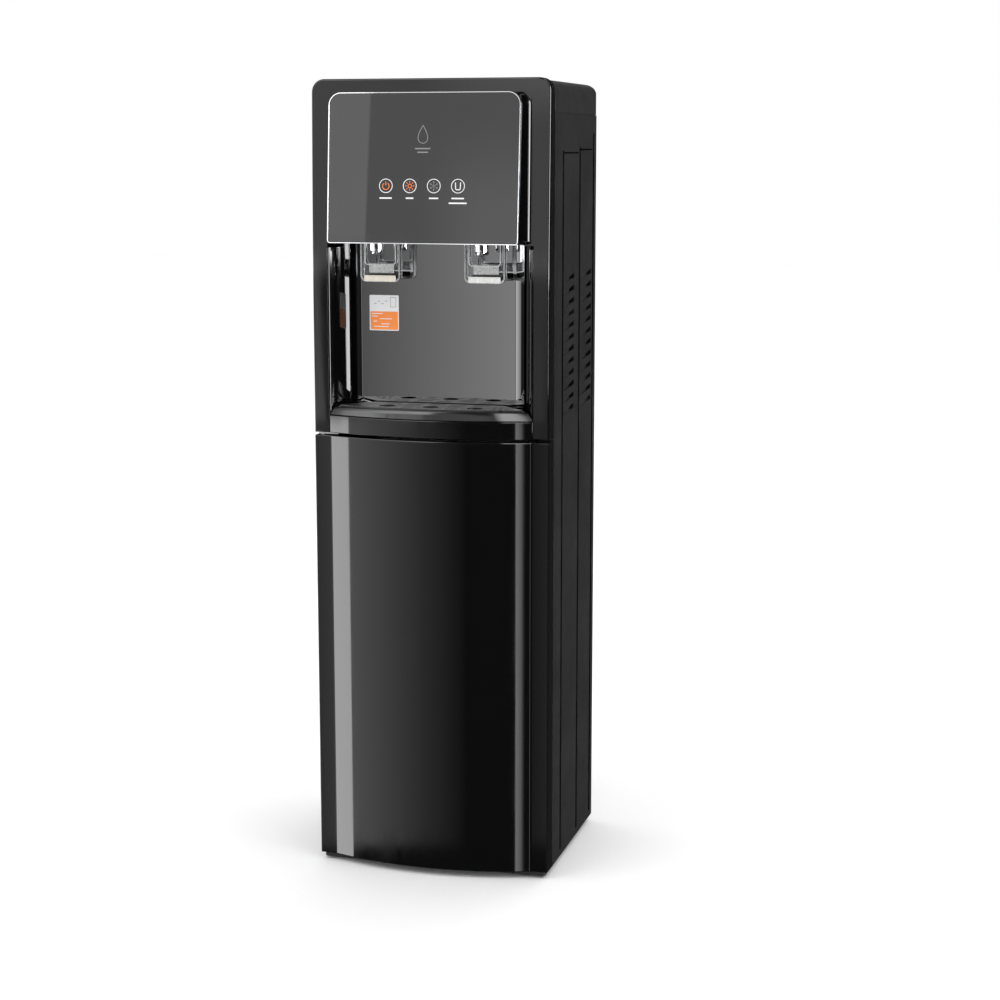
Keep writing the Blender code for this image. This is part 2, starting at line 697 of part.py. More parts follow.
def tap(side_name, x):
    """One spout with the lever that hangs behind it, the lever's pad, its pin and its switch."""
    bore = SPOUT_BORE
    profile = [
        (bore, SPOUT_TOP),
        (SPOUT_RADIUS, SPOUT_TOP),
        (SPOUT_RADIUS, SPOUT_BOTTOM + 0.001),
        (SPOUT_RADIUS - 0.001, SPOUT_BOTTOM),
        (bore + 0.002, SPOUT_BOTTOM),
        (bore, SPOUT_BOTTOM + 0.002),
    ]
    turned(f"spout_{side_name}", profile, (x, SPOUT_Y, 0.0), "chrome", steps=20)

    half, thick = LEVER_HALF_WIDTH, LEVER_THICKNESS / 2
    corners = (LEVER_CORNER, 0.0, 0.0, LEVER_CORNER)
    outer = rounded((x - half, LEVER_BOTTOM), (x + half, LEVER_PIVOT_Z), corners)
    low, high = (x - WINDOW_HALF_WIDTH, LEVER_BOTTOM + 0.008), (x + WINDOW_HALF_WIDTH, WINDOW_TOP)
    window = rounded(low, high, (0.005,) * 4, steps=2)
    lever = prism(f"lever_{side_name}", [outer, window], LEVER_Y - thick, LEVER_Y + thick, "Y", "clear")
    start, end = Vector((x - half, LEVER_Y, LEVER_PIVOT_Z)), Vector((x + half, LEVER_Y, LEVER_PIVOT_Z))
    join(lever, rod("lever_barrel", BARREL_RADIUS, start, end))
    beyond = Vector((0.01, 0.0, 0.0))
    cut(lever, rod("lever_bore", PIN_RADIUS + GAP, start - beyond, end + beyond))

    edge = GAP
    low = (x - WINDOW_HALF_WIDTH + edge, LEVER_BOTTOM + 0.008 + edge)
    high = (x + WINDOW_HALF_WIDTH - edge, PAD_TOP)
    faces = LEVER_Y - 0.0045, LEVER_Y + 0.001
    outline = rounded(low, high, (0.005 - edge,) * 4, steps=2)
    pad = prism(f"lever_pad_{side_name}", outline, *faces, axis="Y", finish="white_plastic")
    pivot(f"lever_axis_{side_name}", (x, LEVER_Y, LEVER_PIVOT_Z), lever, pad)

    spare = Vector((0.0043, 0.0, 0.0))
    rod(f"lever_pin_{side_name}", PIN_RADIUS, start - spare, end + spare, "stainless", sides=12)
    floor = BRACKET_Z + BRACKET_THICKNESS + GAP
    low, high = (x - 0.010, LEVER_Y + 0.0090, floor), (x + 0.010, LEVER_Y + 0.0150, floor + 0.013)
    box(f"lever_switch_{side_name}", low, high, "black_satin")


# --- Door -----------------------------------------------------------------------------------------


def front_plan(inset, rear_y):
    """The door's outline in plan: side, cheek, bulge, cheek, side. The cheeks fall back a little."""
    side, front = WIDTH / 2 - inset, CHEEK_Y + inset + CHEEK_FALL
    return [(-side, rear_y), (-side, front), *bulge_arc(inset), (side, front), (side, rear_y)]


MAGNET_Z = 0.300
MAGNET_X = WIDTH / 2 - 0.0145
PIN_UP = 0.0095


def door():
    panel = prism("door_panel", front_plan(0.0, DOOR_REAR_Y), DOOR_BOTTOM, DOOR_TOP, finish="black_gloss")
    inside = prism("door_inside", front_plan(WALL, DOOR_REAR_Y + 0.01), DOOR_BOTTOM + WALL, DOOR_TOP - WALL)
    cut(panel, inside)
    for z in (DOOR_BOTTOM, DOOR_TOP):
        start, end = (HINGE_X, HINGE_Y, z - 0.008), (HINGE_X, HINGE_Y, z + 0.008)
        cut(panel, rod("hinge_hole", HINGE_PIN_RADIUS + GAP, start, end))
    half = WIDTH / 2 - WALL - GAP
    low = (-half, DOOR_BOTTOM + WALL + GAP)
    high = (half, DOOR_TOP - WALL - GAP)
    faces = DOOR_LINING_Y - 0.0018, DOOR_LINING_Y
    lining = prism("door_lining", rounded(low, high), *faces, axis="Y", finish="black_satin")
    plate_faces = DOOR_LINING_Y + GAP, DOOR_LINING_Y + 0.0013
    low = (MAGNET_X - 0.006, plate_faces[0], MAGNET_Z - 0.012)
    high = (MAGNET_X + 0.006, plate_faces[1], MAGNET_Z + 0.012)
    strike = box("strike_plate", low, high, "stainless")
    low = (MAGNET_X - 0.0055, plate_faces[1] + GAP, MAGNET_Z - 0.011)
    high = (MAGNET_X + 0.0055, BODY_FRONT_Y - GAP, MAGNET_Z + 0.011)
    box("door_magnet", low, high, "black_satin")
    plate_bottom = DOOR_TOP + 0.0012
    low = (-WIDTH / 2 + 0.0035, HINGE_Y - 0.006, plate_bottom)
    high = (-WIDTH / 2 + 0.030, BODY_FRONT_Y - GAP, COVER_BOTTOM - GAP)
    start, end = (HINGE_X, HINGE_Y, DOOR_TOP - PIN_UP), (HINGE_X, HINGE_Y, plate_bottom + 0.001)
    upper = rod("hinge_pin", HINGE_PIN_RADIUS, start, end)
    join(box("hinge_plate_top", low, high, "stainless"), upper)
    start, end = (HINGE_X, HINGE_Y, PLINTH_TOP + GAP), (HINGE_X, HINGE_Y, DOOR_BOTTOM + PIN_UP)
    rod("hinge_pin_bottom", HINGE_PIN_RADIUS, start, end, "stainless")
    pivot("door_axis", (HINGE_X, HINGE_Y, DOOR_BOTTOM), panel, lining, strike)


# --- Water and cooling parts inside ---------------------------------------------------------------

FILTER_X = (-0.088, 0.0, 0.088)
FILTER_Y = -0.048
FILTER_RADIUS = 0.029
FILTER_BOTTOM = 0.150
FILTER_TOP = 0.490


def filters():
    """Twist-lock cartridges hanging from one manifold."""
    low = (-0.125, FILTER_Y - 0.020, FILTER_TOP + GAP)
    high = (0.125, PARTITION_Y - 0.002, FILTER_TOP + 0.030)
    box("filter_manifold", low, high, "white_plastic")
    names = ("sediment_filter", "carbon_filter", "membrane_filter")
    body, shoulder = FILTER_RADIUS, 0.008
    profile = [
        (0.0, FILTER_TOP),
        (0.013, FILTER_TOP),
        (0.013, FILTER_TOP - 0.012),
        (body - shoulder, FILTER_TOP - 0.014),
        (body, FILTER_TOP - 0.014 - shoulder),
        (body, FILTER_BOTTOM + 0.006),
        (body - 0.006, FILTER_BOTTOM),
        (0.0, FILTER_BOTTOM),
    ]
    for name, x in zip(names, FILTER_X):
        cartridge = turned(name, profile, (x, FILTER_Y, 0.0), "white_plastic")
        grip = box(
            name + "_grip",
            (x - 0.0035, FILTER_Y - 0.024, FILTER_BOTTOM - 0.014),
            (x + 0.0035, FILTER_Y + 0.024, FILTER_BOTTOM + 0.004),
        )
        join(cartridge, grip)


COLD_TANK = (0.076, 0.030)
HOT_TANK = (-0.090, 0.036)
TANK_BOTTOM = TANK_SHELF_Z + GAP


def tank(name, centre, radius, height, finish):
    top, edge = TANK_BOTTOM + height, 0.012
    profile = [
        (0.0, top),
        (radius - edge, top),
        (radius - edge * 0.3, top - edge * 0.3),
        (radius, top - edge),
        (radius, TANK_BOTTOM),
        (0.0, TANK_BOTTOM),
    ]
    turned(name, profile, (*centre, 0.0), finish)
    return top


COMPRESSOR = (-0.045, 0.062)
COMPRESSOR_BOTTOM = PAN_BOTTOM + PAN_WALL + GAP
COMPRESSOR_RADIUS = 0.054


def compressor():
    bottom, radius = COMPRESSOR_BOTTOM, COMPRESSOR_RADIUS
    profile = [
        (0.0, bottom + 0.130),
        (radius * 0.5, bottom + 0.125),
        (radius * 0.85, bottom + 0.110),
        (radius, bottom + 0.085),
        (radius + 0.002, bottom + 0.070),
        (radius, bottom + 0.055),
        (radius * 0.9, bottom + 0.020),
        (radius * 0.6, bottom + 0.008),
        (0.0, bottom + 0.004),
    ]
    pot = turned("compressor", profile, (*COMPRESSOR, 0.0), "black_satin")
    x, y = COMPRESSOR
    low, high = (x - 0.062, y - 0.045, bottom), (x + 0.062, y + 0.045, bottom + 0.010)
    join(pot, box("compressor_foot", low, high))


def lead(start, direction, length):
    """Three points in a straight line, so that a hose leaves its port squarely."""
    start, direction = Vector(start), Vector(direction)
    return [start, start + direction * length / 2, start + direction * length]


HOSE_RADIUS = 0.004
SUPPLY_RADIUS = 0.0032
SUCTION_RADIUS = 0.003


def pipes(hot_top, cold_top):
    up, down, back = (0, 0, 1), (0, 0, -1), (0, 1, 0)
    for name, tank_centre, tank_top, tap_x in (
        ("hot_water_hose", HOT_TANK, hot_top, -TAP_X),
        ("cold_water_hose", COLD_TANK, cold_top, TAP_X),
    ):
        x, y = tank_centre
        route = lead((x, y, tank_top + GAP), up, 0.020)
        route += [(x, y - 0.035, 0.895), (tap_x, -0.090, 0.890)]
        route += lead((tap_x, SPOUT_Y, SPOUT_TOP + GAP), up, 0.024)[::-1]
        tube(name, smooth_path(route), HOSE_RADIUS, "silicone")

    port_y = PARTITION_Y - 0.002 + GAP
    inlet = lead((INLET_X, REAR_PANEL_Y - 0.0115, PORT_Z), (0, -1, 0), 0.012)
    inlet += [(PIPE_HOLE_X - 0.010, 0.070, 0.420)]
    inlet += lead((PIPE_HOLE_X, port_y, PIPE_HOLE_Z), back, 0.016)[::-1]
    tube("inlet_hose", smooth_path(inlet), SUPPLY_RADIUS, "silicone")

    x, y = FEED_HOLE
    feed = lead((-PIPE_HOLE_X, port_y, PIPE_HOLE_Z), back, 0.016)
    feed += [(-0.060, y, 0.550), *lead((x, y, 0.585), up, 0.030), (x, y, 0.780), (x + 0.028, y, 0.850)]
    feed += lead((COLD_TANK[0] - 0.030, y, cold_top + GAP), up, 0.014)[::-1]
    tube("filtered_water_hose", smooth_path(feed, 3), SUPPLY_RADIUS, "silicone")

    x, y = COMPRESSOR
    suction = lead((x, y, COMPRESSOR_BOTTOM + 0.1303 + GAP), up, 0.016)
    suction += [(x + 0.040, y + 0.010, 0.330)]
    suction += lead((*SUCTION_HOLE, TANK_BOTTOM - 0.0006), down, 0.080)[::-1]
    tube("suction_tube", smooth_path(suction), SUCTION_RADIUS, "copper")


# --- Back of the cabinet --------------------------------------------------------------------------

CONDENSER_RUNS = 12
CONDENSER_HALF_WIDTH = 0.110
CONDENSER_BOTTOM = 0.375
CONDENSER_PITCH = 0.046
CONDENSER_Y = REAR_Y - 0.0052
CONDENSER_RADIUS = 0.0024
CONDENSER_SHEET_X = 0.1355


def condenser():
    """A sheet with one tube bonded to it, which snakes up with a round bend at each end."""
    points = []
    half = CONDENSER_PITCH / 2
    for run in range(CONDENSER_RUNS):
        z = CONDENSER_BOTTOM + run * CONDENSER_PITCH
        side = 1 if run % 2 == 0 else -1
        start, end = -side * CONDENSER_HALF_WIDTH, side * CONDENSER_HALF_WIDTH
        points += [(start, CONDENSER_Y, z), (end, CONDENSER_Y, z)]
        if run < CONDENSER_RUNS - 1:
            bend = arc((0.0, z + half), half, -90, 90, 6)[1:-1]
            points += [(end + side * x, CONDENSER_Y, up) for x, up in bend]
    pipe = add("condenser_pipe", mesh_of(tube("condenser_route", points, CONDENSER_RADIUS, "black_satin")))
    low = (-CONDENSER_SHEET_X, CONDENSER_Y - 0.0013, CONDENSER_BOTTOM - 0.012)
    high = (CONDENSER_SHEET_X, CONDENSER_Y - 0.0005, points[-1][2] + 0.012)
    join(box("condenser_panel", low, high, "black_satin"), pipe)


PLATE_HALF_HEIGHT = 0.0155
ROCKER_TILT = -9
ROCKER_OUTLINE = (
    (0.0020, -0.0092),
    (0.0042, -0.0092),
    (0.0028, 0.0),
    (0.0042, 0.0092),
    (0.0020, 0.0092),
    (-0.006, 0.0085),
    (-0.006, -0.0085),
)
PLUG_RADIUS = 0.0105
PLUG_HEIGHT = 0.0100
PLUG_STEM = 0.016
FLUTE_RADIUS = 0.0032
FLUTE_OUT = 0.0118


def switches(outside):
    low, high = (-0.1165, PORT_Z - PLATE_HALF_HEIGHT), (-0.0535, PORT_Z + PLATE_HALF_HEIGHT)
    loops = [rounded(low, high, (0.002,) * 4, 2)]
    for x in SWITCH_X:
        loops.append(rounded((x - 0.0095, PORT_Z - 0.0115), (x + 0.0095, PORT_Z + 0.0115)))
    prism("switch_plate", loops, outside, outside + 0.002, "Y", "black_satin")
    tilt = Matrix.Rotation(math.radians(ROCKER_TILT), 4, "X")
    for name, x, finish in (("hot", SWITCH_X[0], "red_plastic"), ("cold", SWITCH_X[1], "green_plastic")):
        place = Matrix.Translation((x, outside, PORT_Z)) @ tilt
        rocker = prism(f"{name}_switch", list(ROCKER_OUTLINE), -0.0088, 0.0088, "X", finish, place)
        pivot(f"{name}_switch_axis", (x, outside, PORT_Z), rocker)


def drain_plug(name, place, outside):
    """A screw plug whose round knob has four flutes for the fingers."""
    knob, stem = PLUG_RADIUS, PORT_RADIUS - GAP
    profile = [
        (0.0, PLUG_HEIGHT),
        (knob - 0.001, PLUG_HEIGHT),
        (knob, PLUG_HEIGHT - 0.001),
        (knob, GAP),
        (stem, GAP),
        (stem, -PLUG_STEM),
        (0.0, -PLUG_STEM),
    ]
    plug = turned(name, profile, place, "white_plastic")
    centre = place.to_translation()
    for i in range(4):
        angle = math.radians(45 + 90 * i)
        x, z = centre.x + FLUTE_OUT * math.cos(angle), centre.z + FLUTE_OUT * math.sin(angle)
        flute = rod("plug_flute", FLUTE_RADIUS, (x, outside - 0.001, z), (x, outside + 0.02, z), sides=8)
        cut(plug, flute)


def rear_fittings():
    outside = REAR_PANEL_Y + SHEET + GAP
    switches(outside)
    turn = Matrix.Rotation(math.radians(-90), 4, "X")

    def port(x):
        return Matrix.Translation((x, REAR_PANEL_Y + SHEET, PORT_Z)) @ turn

    for name, x in zip(("hot_drain_plug", "cold_drain_plug"), DRAIN_X):
        drain_plug(name, port(x), outside)
    fitting = [
        (0.0, 0.0110),
        (0.0048, 0.0110),
        (0.0048, 0.0040),
        (0.0100, 0.0040),
        (0.0100, GAP),
        (0.0060, GAP),
        (0.0060, -0.0110),
        (0.0, -0.0110),
    ]
    turned("water_inlet", fitting, port(INLET_X), "white_plastic")
    gland = [
        (0.0, 0.0110),
        (0.0060, 0.0110),
        (0.0095, 0.0030),
        (0.0095, GAP),
        (0.0060, GAP),
        (0.0060, -0.0080),
        (0.0, -0.0080),
    ]
    turned("cord_gland", gland, port(GLAND_X), "rubber")


def build():
    base()
    side_panel("side_panel_left", -1)
    side_panel("side_panel_right", 1)
    rear_panels()
    inner_frame()
    top_cap()
    front_cover()
    niche()
    tray()
    module()
    tap_bracket()
    tap("hot", -TAP_X)
    tap("cold", TAP_X)
    door()
    filters()
    hot_top = tank("hot_tank", HOT_TANK, 0.048, 0.165, "stainless")
    cold_top = tank("cold_tank", COLD_TANK, 0.064, 0.205, "foam")
    compressor()
    pipes(hot_top, cold_top)
    condenser()
    rear_fittings()


build()
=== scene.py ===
"""Looks of the floor-standing water dispenser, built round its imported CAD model.

Metres, in the CAD frame: +X to the right as seen from the front, +Y to the back, +Z up.
"""

import math
from math import cos, pi, radians, sin

import bmesh
import bpy
from mathutils import Matrix, Vector


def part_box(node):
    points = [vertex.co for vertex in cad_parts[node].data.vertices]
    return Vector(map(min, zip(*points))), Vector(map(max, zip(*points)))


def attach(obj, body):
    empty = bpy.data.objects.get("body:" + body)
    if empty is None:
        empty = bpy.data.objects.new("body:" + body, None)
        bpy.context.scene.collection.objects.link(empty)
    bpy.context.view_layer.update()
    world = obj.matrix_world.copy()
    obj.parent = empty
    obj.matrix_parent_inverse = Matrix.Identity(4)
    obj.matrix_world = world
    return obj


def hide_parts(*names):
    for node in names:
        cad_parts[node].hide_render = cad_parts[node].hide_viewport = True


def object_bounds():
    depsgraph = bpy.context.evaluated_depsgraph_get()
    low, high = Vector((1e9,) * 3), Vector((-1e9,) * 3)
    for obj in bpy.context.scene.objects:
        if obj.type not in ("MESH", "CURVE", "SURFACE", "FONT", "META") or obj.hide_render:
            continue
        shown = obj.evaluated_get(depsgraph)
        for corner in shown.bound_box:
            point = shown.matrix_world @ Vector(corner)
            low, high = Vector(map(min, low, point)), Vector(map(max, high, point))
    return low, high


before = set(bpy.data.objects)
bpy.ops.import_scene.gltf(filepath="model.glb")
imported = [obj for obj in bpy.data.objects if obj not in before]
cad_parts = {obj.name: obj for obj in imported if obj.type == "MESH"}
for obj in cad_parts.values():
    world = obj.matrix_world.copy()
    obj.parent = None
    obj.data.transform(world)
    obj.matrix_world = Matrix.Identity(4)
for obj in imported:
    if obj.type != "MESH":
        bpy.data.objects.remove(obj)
CAD_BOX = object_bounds()

# --- Sizes, read from the CAD model ---

FRONT_Y = CAD_BOX[0].y
HALF_WIDTH, HEIGHT = CAD_BOX[1].x, CAD_BOX[1].z
COVER_LOW, COVER_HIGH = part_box("front_cover")
DOOR_LOW, DOOR_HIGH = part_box("door_panel")
TRAY_LOW, TRAY_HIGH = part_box("drip_tray")
GRILLE_LOW, GRILLE_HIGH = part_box("drip_grille")
FASCIA_LOW, FASCIA_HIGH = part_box("tray_fascia")
LINER_LOW, LINER_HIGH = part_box("niche_liner")
SPLASH_LOW, SPLASH_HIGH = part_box("splash_panel")
CAP_LOW, CAP_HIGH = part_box("top_cap")
TRIM_LOW, TRIM_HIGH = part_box("module_trim")
PIN_LOW, PIN_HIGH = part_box("lever_pin_cold")
CHEEK_Y = COVER_LOW.y
CHEEK_X = 0.135
BULGE = CHEEK_Y - DOOR_LOW.y
BULGE_RADIUS = (CHEEK_X**2 + BULGE**2) / (2 * BULGE)
LEAN_START, LEAN = 0.810, 0.006
COVER_RADIUS = 0.016
WALL = 0.003
# How far a cutter reaches past what it cuts
PAST = 0.01

MODULE_BOTTOM = TRIM_LOW.z
MODULE_HEIGHT, MODULE_LEAN = 0.185, 0.014
MODULE_HALF = TRIM_HIGH.x
MODULE_TOP = MODULE_BOTTOM + MODULE_HEIGHT
MODULE_ANGLE = math.atan2(MODULE_LEAN, MODULE_HEIGHT)
MODULE_SLOPE = math.hypot(MODULE_LEAN, MODULE_HEIGHT)
MODULE_RADIUS = 0.016
MODULE_PLACE = Matrix.Translation((0.0, FRONT_Y, MODULE_BOTTOM)) @ Matrix.Rotation(-MODULE_ANGLE, 4, "X")
TAP_X = 0.0687
LEVER_Y = (PIN_LOW.y + PIN_HIGH.y) / 2
PIVOT_Z = (PIN_LOW.z + PIN_HIGH.z) / 2

# --- Mesh tools ---

ALONG = {
    "X": lambda across, up, out: (out, across, up),
    "Y": lambda across, up, out: (across, out, up),
    "Z": lambda across, up, out: (across, up, out),
}


def polar(centre, radius, degrees):
    angle = radians(degrees)
    return (centre[0] + radius * cos(angle), centre[1] + radius * sin(angle))


def arc(centre, radius, first, last, steps):
    """Points on an arc, with angles in degrees."""
    return [polar(centre, radius, first + (last - first) * i / steps) for i in range(steps + 1)]


def circle(centre, radius, steps=48):
    return arc(centre, radius, 0, 360, steps)[:-1]


def rounded(low, high, radii, steps=8):
    """A rectangle with round corners: low right, high right, high left, low left."""
    if isinstance(radii, float):
        radii = (radii,) * 4
    (left, bottom), (right, top) = low, high
    corners = ((right, bottom, -1, 1, -90), (right, top, -1, -1, 0))
    corners += ((left, top, 1, -1, 90), (left, bottom, 1, 1, 180))
    points = []
    for (x, y, in_x, in_y, first), radius in zip(corners, radii):
        if radius:
            points += arc((x + in_x * radius, y + in_y * radius), radius, first, first + 90, steps)
        else:
            points.append((x, y))
    return points


def bulge_arc(inset=0.0, steps=72):
    """The bulged middle of the front in plan, from left to right."""
    radius = BULGE_RADIUS - inset
    reach = math.degrees(math.acos((BULGE_RADIUS - BULGE - inset) / radius))
    return arc((0.0, CHEEK_Y - BULGE + BULGE_RADIUS), radius, 270 - reach, 270 + reach, steps)


def round_node(name):
    """A round node's lowest and highest corners, centre and radius."""
    low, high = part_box(name)
    return low, high, (low + high) / 2, (high.x - low.x) / 2


def cover_front_y(z):
    """Where the upper front cover's face is at a height: it leans back from the niche's top."""
    return CHEEK_Y + LEAN * max(0.0, z - LEAN_START) / (HEIGHT - LEAN_START)


def moved(shape, place):
    bmesh.ops.transform(shape, matrix=place, verts=shape.verts)
    return shape


def shifted(shape, place):
    """Moves a shape sideways only."""
    return moved(shape, Matrix.Translation((place[0], place[1], 0.0)))


def bevel(shape, edges, width, segments):
    settings = {"profile": 0.5, "affect": "EDGES", "clamp_overlap": True}
    bmesh.ops.bevel(shape, geom=edges, offset=width, segments=segments, **settings)


def soften(obj, width, segments=2):
    """Rounds an object's sharp edges with a modifier."""
    modifier = obj.modifiers.new("edges", "BEVEL")
    modifier.width = width
    modifier.segments = segments
    modifier.limit_method = "ANGLE"
    modifier.angle_limit = radians(50)


def add_object(name, data):
    obj = bpy.data.objects.new(name, data)
    bpy.context.scene.collection.objects.link(obj)
    return obj


def finish_mesh(name, shape, place=None):
    if place:
        moved(shape, place)
    bmesh.ops.recalc_face_normals(shape, faces=shape.faces)
    mesh = bpy.data.meshes.new(name)
    shape.to_mesh(mesh)
    shape.free()
    return mesh


def level(loop, z):
    return [(x, y, z) for x, y in loop]


def loft(rings, closed=False):
    """Skins rings of equally many points, with flat ends or closed into a loop."""
    shape = bmesh.new()
    made = [[shape.verts.new(p) for p in ring] for ring in rings]
    following = made[1:] + made[:1] if closed else made[1:]
    for a, b in zip(made, following):
        for i in range(len(a)):
            j = (i + 1) % len(a)
            shape.faces.new((a[i], a[j], b[j], b[i]))
    if not closed:
        shape.faces.new(made[0])
        shape.faces.new(made[-1][::-1])
    return shape


def prism(loop, start, end, axis="Z", edge=0.0):
    """An outline extruded along an axis, with both ends' edges rounded if edge is given."""
    to_space = ALONG[axis]
    shape = loft([[to_space(a, b, out) for a, b in loop] for out in (start, end)])
    if edge:
        index = "XYZ".index(axis)
        rims = [e for e in shape.edges if abs(e.verts[0].co[index] - e.verts[1].co[index]) < 1e-9]
        bevel(shape, rims, edge, 3)
    return shape


def box(low, high, edge=0.0, segments=3):
    """A block, with all its edges rounded if edge is given."""
    shape = bmesh.new()
    bmesh.ops.create_cube(shape, size=1.0)
    low, high = Vector(low), Vector(high)
    bmesh.ops.scale(shape, vec=high - low, verts=shape.verts)
    bmesh.ops.translate(shape, vec=(low + high) / 2, verts=shape.verts)
    if edge:
        bevel(shape, shape.edges[:], edge, segments)
    return shape


def turned(profile, steps=64):
    """A profile of (radius, height) turned about Z, closed at the axis or into a ring."""
    shape = bmesh.new()
    rings = []
    for radius, height in profile:
        loop = circle((0.0, 0.0), radius, steps) if radius else [(0.0, 0.0)]
        rings.append([shape.verts.new((x, y, height)) for x, y in loop])
    pairs = list(zip(rings, rings[1:]))
    if len(rings[0]) > 1 and len(rings[-1]) > 1:
        pairs.append((rings[-1], rings[0]))
    for a, b in pairs:
        for i in range(steps):
            j = (i + 1) % steps
            corners = []
            for ring, index in ((a, i), (a, j), (b, j), (b, i)):
                vert = ring[index % len(ring)]
                if vert not in corners:
                    corners.append(vert)
            shape.faces.new(corners)
    return shape


def slab(x, half, ys, zs, edge):
    """A block centred on x, with all its edges rounded."""
    return box((x - half, ys[0], zs[0]), (x + half, ys[1], zs[1]), edge)


def headings(points):
    """Each point with the direction of the line there."""
    points = [Vector(p) for p in points]
    last = len(points) - 1
    for i, point in enumerate(points):
        yield point, (points[min(i + 1, last)] - points[max(i - 1, 0)]).normalized()


def bar(points, radius, sides=8):
    """A round bar along points, with flat ends."""
    rings = []
    side = None
    for point, along in headings(points):
        if side is None:
            side = along.orthogonal().normalized()
        side = (side - along * side.dot(along)).normalized()
        other = along.cross(side)
        loop = circle((0.0, 0.0), radius, sides)
        rings.append([point + side * a + other * b for a, b in loop])
    return loft(rings)


def merged(*shapes):
    """Several shapes as one, each staying a closed body."""
    whole = bmesh.new()
    for shape in shapes:
        mesh = finish_mesh("piece", shape)
        whole.from_mesh(mesh)
        bpy.data.meshes.remove(mesh)
    return whole


def boolean(shape, operation, *others):
    """The shape after a boolean with each of the others in turn."""
    obj = add_object("cut", finish_mesh("cut", shape))
    helpers = [obj]
    for other in others:
        helpers.append(add_object("cutter", finish_mesh("cutter", other)))
        modifier = obj.modifiers.new("cut", "BOOLEAN")
        modifier.operation = operation
        modifier.solver = "EXACT"
        modifier.object = helpers[-1]
    bpy.context.view_layer.update()
    mesh = bpy.data.meshes.new_from_object(obj.evaluated_get(bpy.context.evaluated_depsgraph_get()))
    result = bmesh.new()
    result.from_mesh(mesh)
    for helper in helpers:
        data = helper.data
        bpy.data.objects.remove(helper, do_unlink=True)
        bpy.data.meshes.remove(data)
    bpy.data.meshes.remove(mesh)
    return result


def cut(shape, *others):
    return boolean(shape, "DIFFERENCE", *others)


def piece(name, shape, look, body, replaces, slot, place=None, edge=0.0, segments=2):
    """A finished piece of the object, which rides on a body and may stand for CAD nodes."""
    obj = add_object(name, finish_mesh(name, shape, place))
    obj.data.materials.append(look)
    obj.data.shade_smooth()
    obj.data.set_sharp_from_angle(angle=radians(38))
    if edge:
        soften(obj, edge, segments)
    obj.modifiers.new("normals", "WEIGHTED_NORMAL").keep_sharp = True
    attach(obj, body)
    if replaces:
        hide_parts(*replaces)


# --- Materials ---


def set_range(node, start, end, low, high):
    """Makes a Map Range node turn start..end into low..high."""
    for socket, number in zip(("From Min", "From Max", "To Min", "To Max"), (start, end, low, high)):
        node.inputs[socket].default_value = number


class Nodes:
    """A short way to add nodes to a tree and wire them."""

    def node(self, kind, **settings):
        node = self.tree.nodes.new(kind)
        for key, value in settings.items():
            setattr(node, key, value)
        return node

    def link(self, output, target):
        self.tree.links.new(output, target)


EVEN = (1.0, 1.0, 1.0)


class Look(Nodes):
    """A Principled material and the ways its surface can vary."""

    def __init__(self, name, colour, roughness, metallic=0.0, **sockets):
        self.name = name
        self.material = bpy.data.materials.new(name)
        self.material.use_nodes = True
        self.tree = self.material.node_tree
        self.shader = self.tree.nodes["Principled BSDF"]
        self.colour = colour
        sockets.update({"Base Color": (*colour, 1.0), "Roughness": roughness, "Metallic": metallic})
        for socket, value in sockets.items():
            self.shader.inputs[socket.replace("_", " ")].default_value = value
        self.where = self.node("ShaderNodeTexCoord").outputs["Object"]

    def noise(self, scale, detail, stretch):
        """Noise from 0 to 1. The scale is in waves to the metre."""
        mapping = self.node("ShaderNodeMapping")
        mapping.inputs["Scale"].default_value = stretch
        self.link(self.where, mapping.inputs["Vector"])
        noise = self.node("ShaderNodeTexNoise")
        noise.inputs["Scale"].default_value = scale
        noise.inputs["Detail"].default_value = detail
        self.link(mapping.outputs["Vector"], noise.inputs["Vector"])
        return noise.outputs["Fac"]

    def tint(self, amount, scale, detail=4.0, stretch=EVEN):
        """Small patchy changes in the base colour."""
        node = self.node("ShaderNodeMix", data_type="RGBA")
        for socket, change in (("A", 1 - amount), ("B", 1 + amount)):
            node.inputs[socket].default_value = (*(min(1.0, c * change) for c in self.colour), 1.0)
        self.link(self.noise(scale, detail, stretch), node.inputs["Factor"])
        self.link(node.outputs["Result"], self.shader.inputs["Base Color"])
        return self

    def rough(self, low, high, scale, detail=5.0, stretch=EVEN):
        """Roughness that wanders between two values."""
        node = self.node("ShaderNodeMapRange")
        set_range(node, 0.3, 0.7, low, high)
        self.link(self.noise(scale, detail, stretch), node.inputs["Value"])
        self.link(node.outputs["Result"], self.shader.inputs["Roughness"])
        return self

    def relief(self, distance, scale, detail, strength=1.0, stretch=EVEN):
        """Adds relief. The distance is its full height in metres."""
        node = self.node("ShaderNodeBump")
        node.inputs["Strength"].default_value = strength
        node.inputs["Distance"].default_value = distance
        self.link(self.noise(scale, detail, stretch), node.inputs["Height"])
        self.link(node.outputs["Normal"], self.shader.inputs["Normal"])
        return self


def gloss_plastic(name, colour, roughness=0.035, peel=0.000004):
    """Polished moulded plastic: faint waviness, faint wiping marks."""
    look = Look(name, colour, roughness).tint(0.12, 9.0)
    look.rough(roughness * 0.7, roughness * 1.6, 60.0, 6.0, (1.0, 1.0, 0.25))
    return look.relief(peel, 55.0, 1.0)


def satin_plastic(name, colour, roughness=0.38, grain=0.00003):
    """Moulded plastic with a fine spark-eroded grain."""
    look = Look(name, colour, roughness).tint(0.10, 20.0)
    return look.rough(roughness * 0.88, roughness * 1.14, 40.0).relief(grain, 2600.0, 2.0, 0.5)


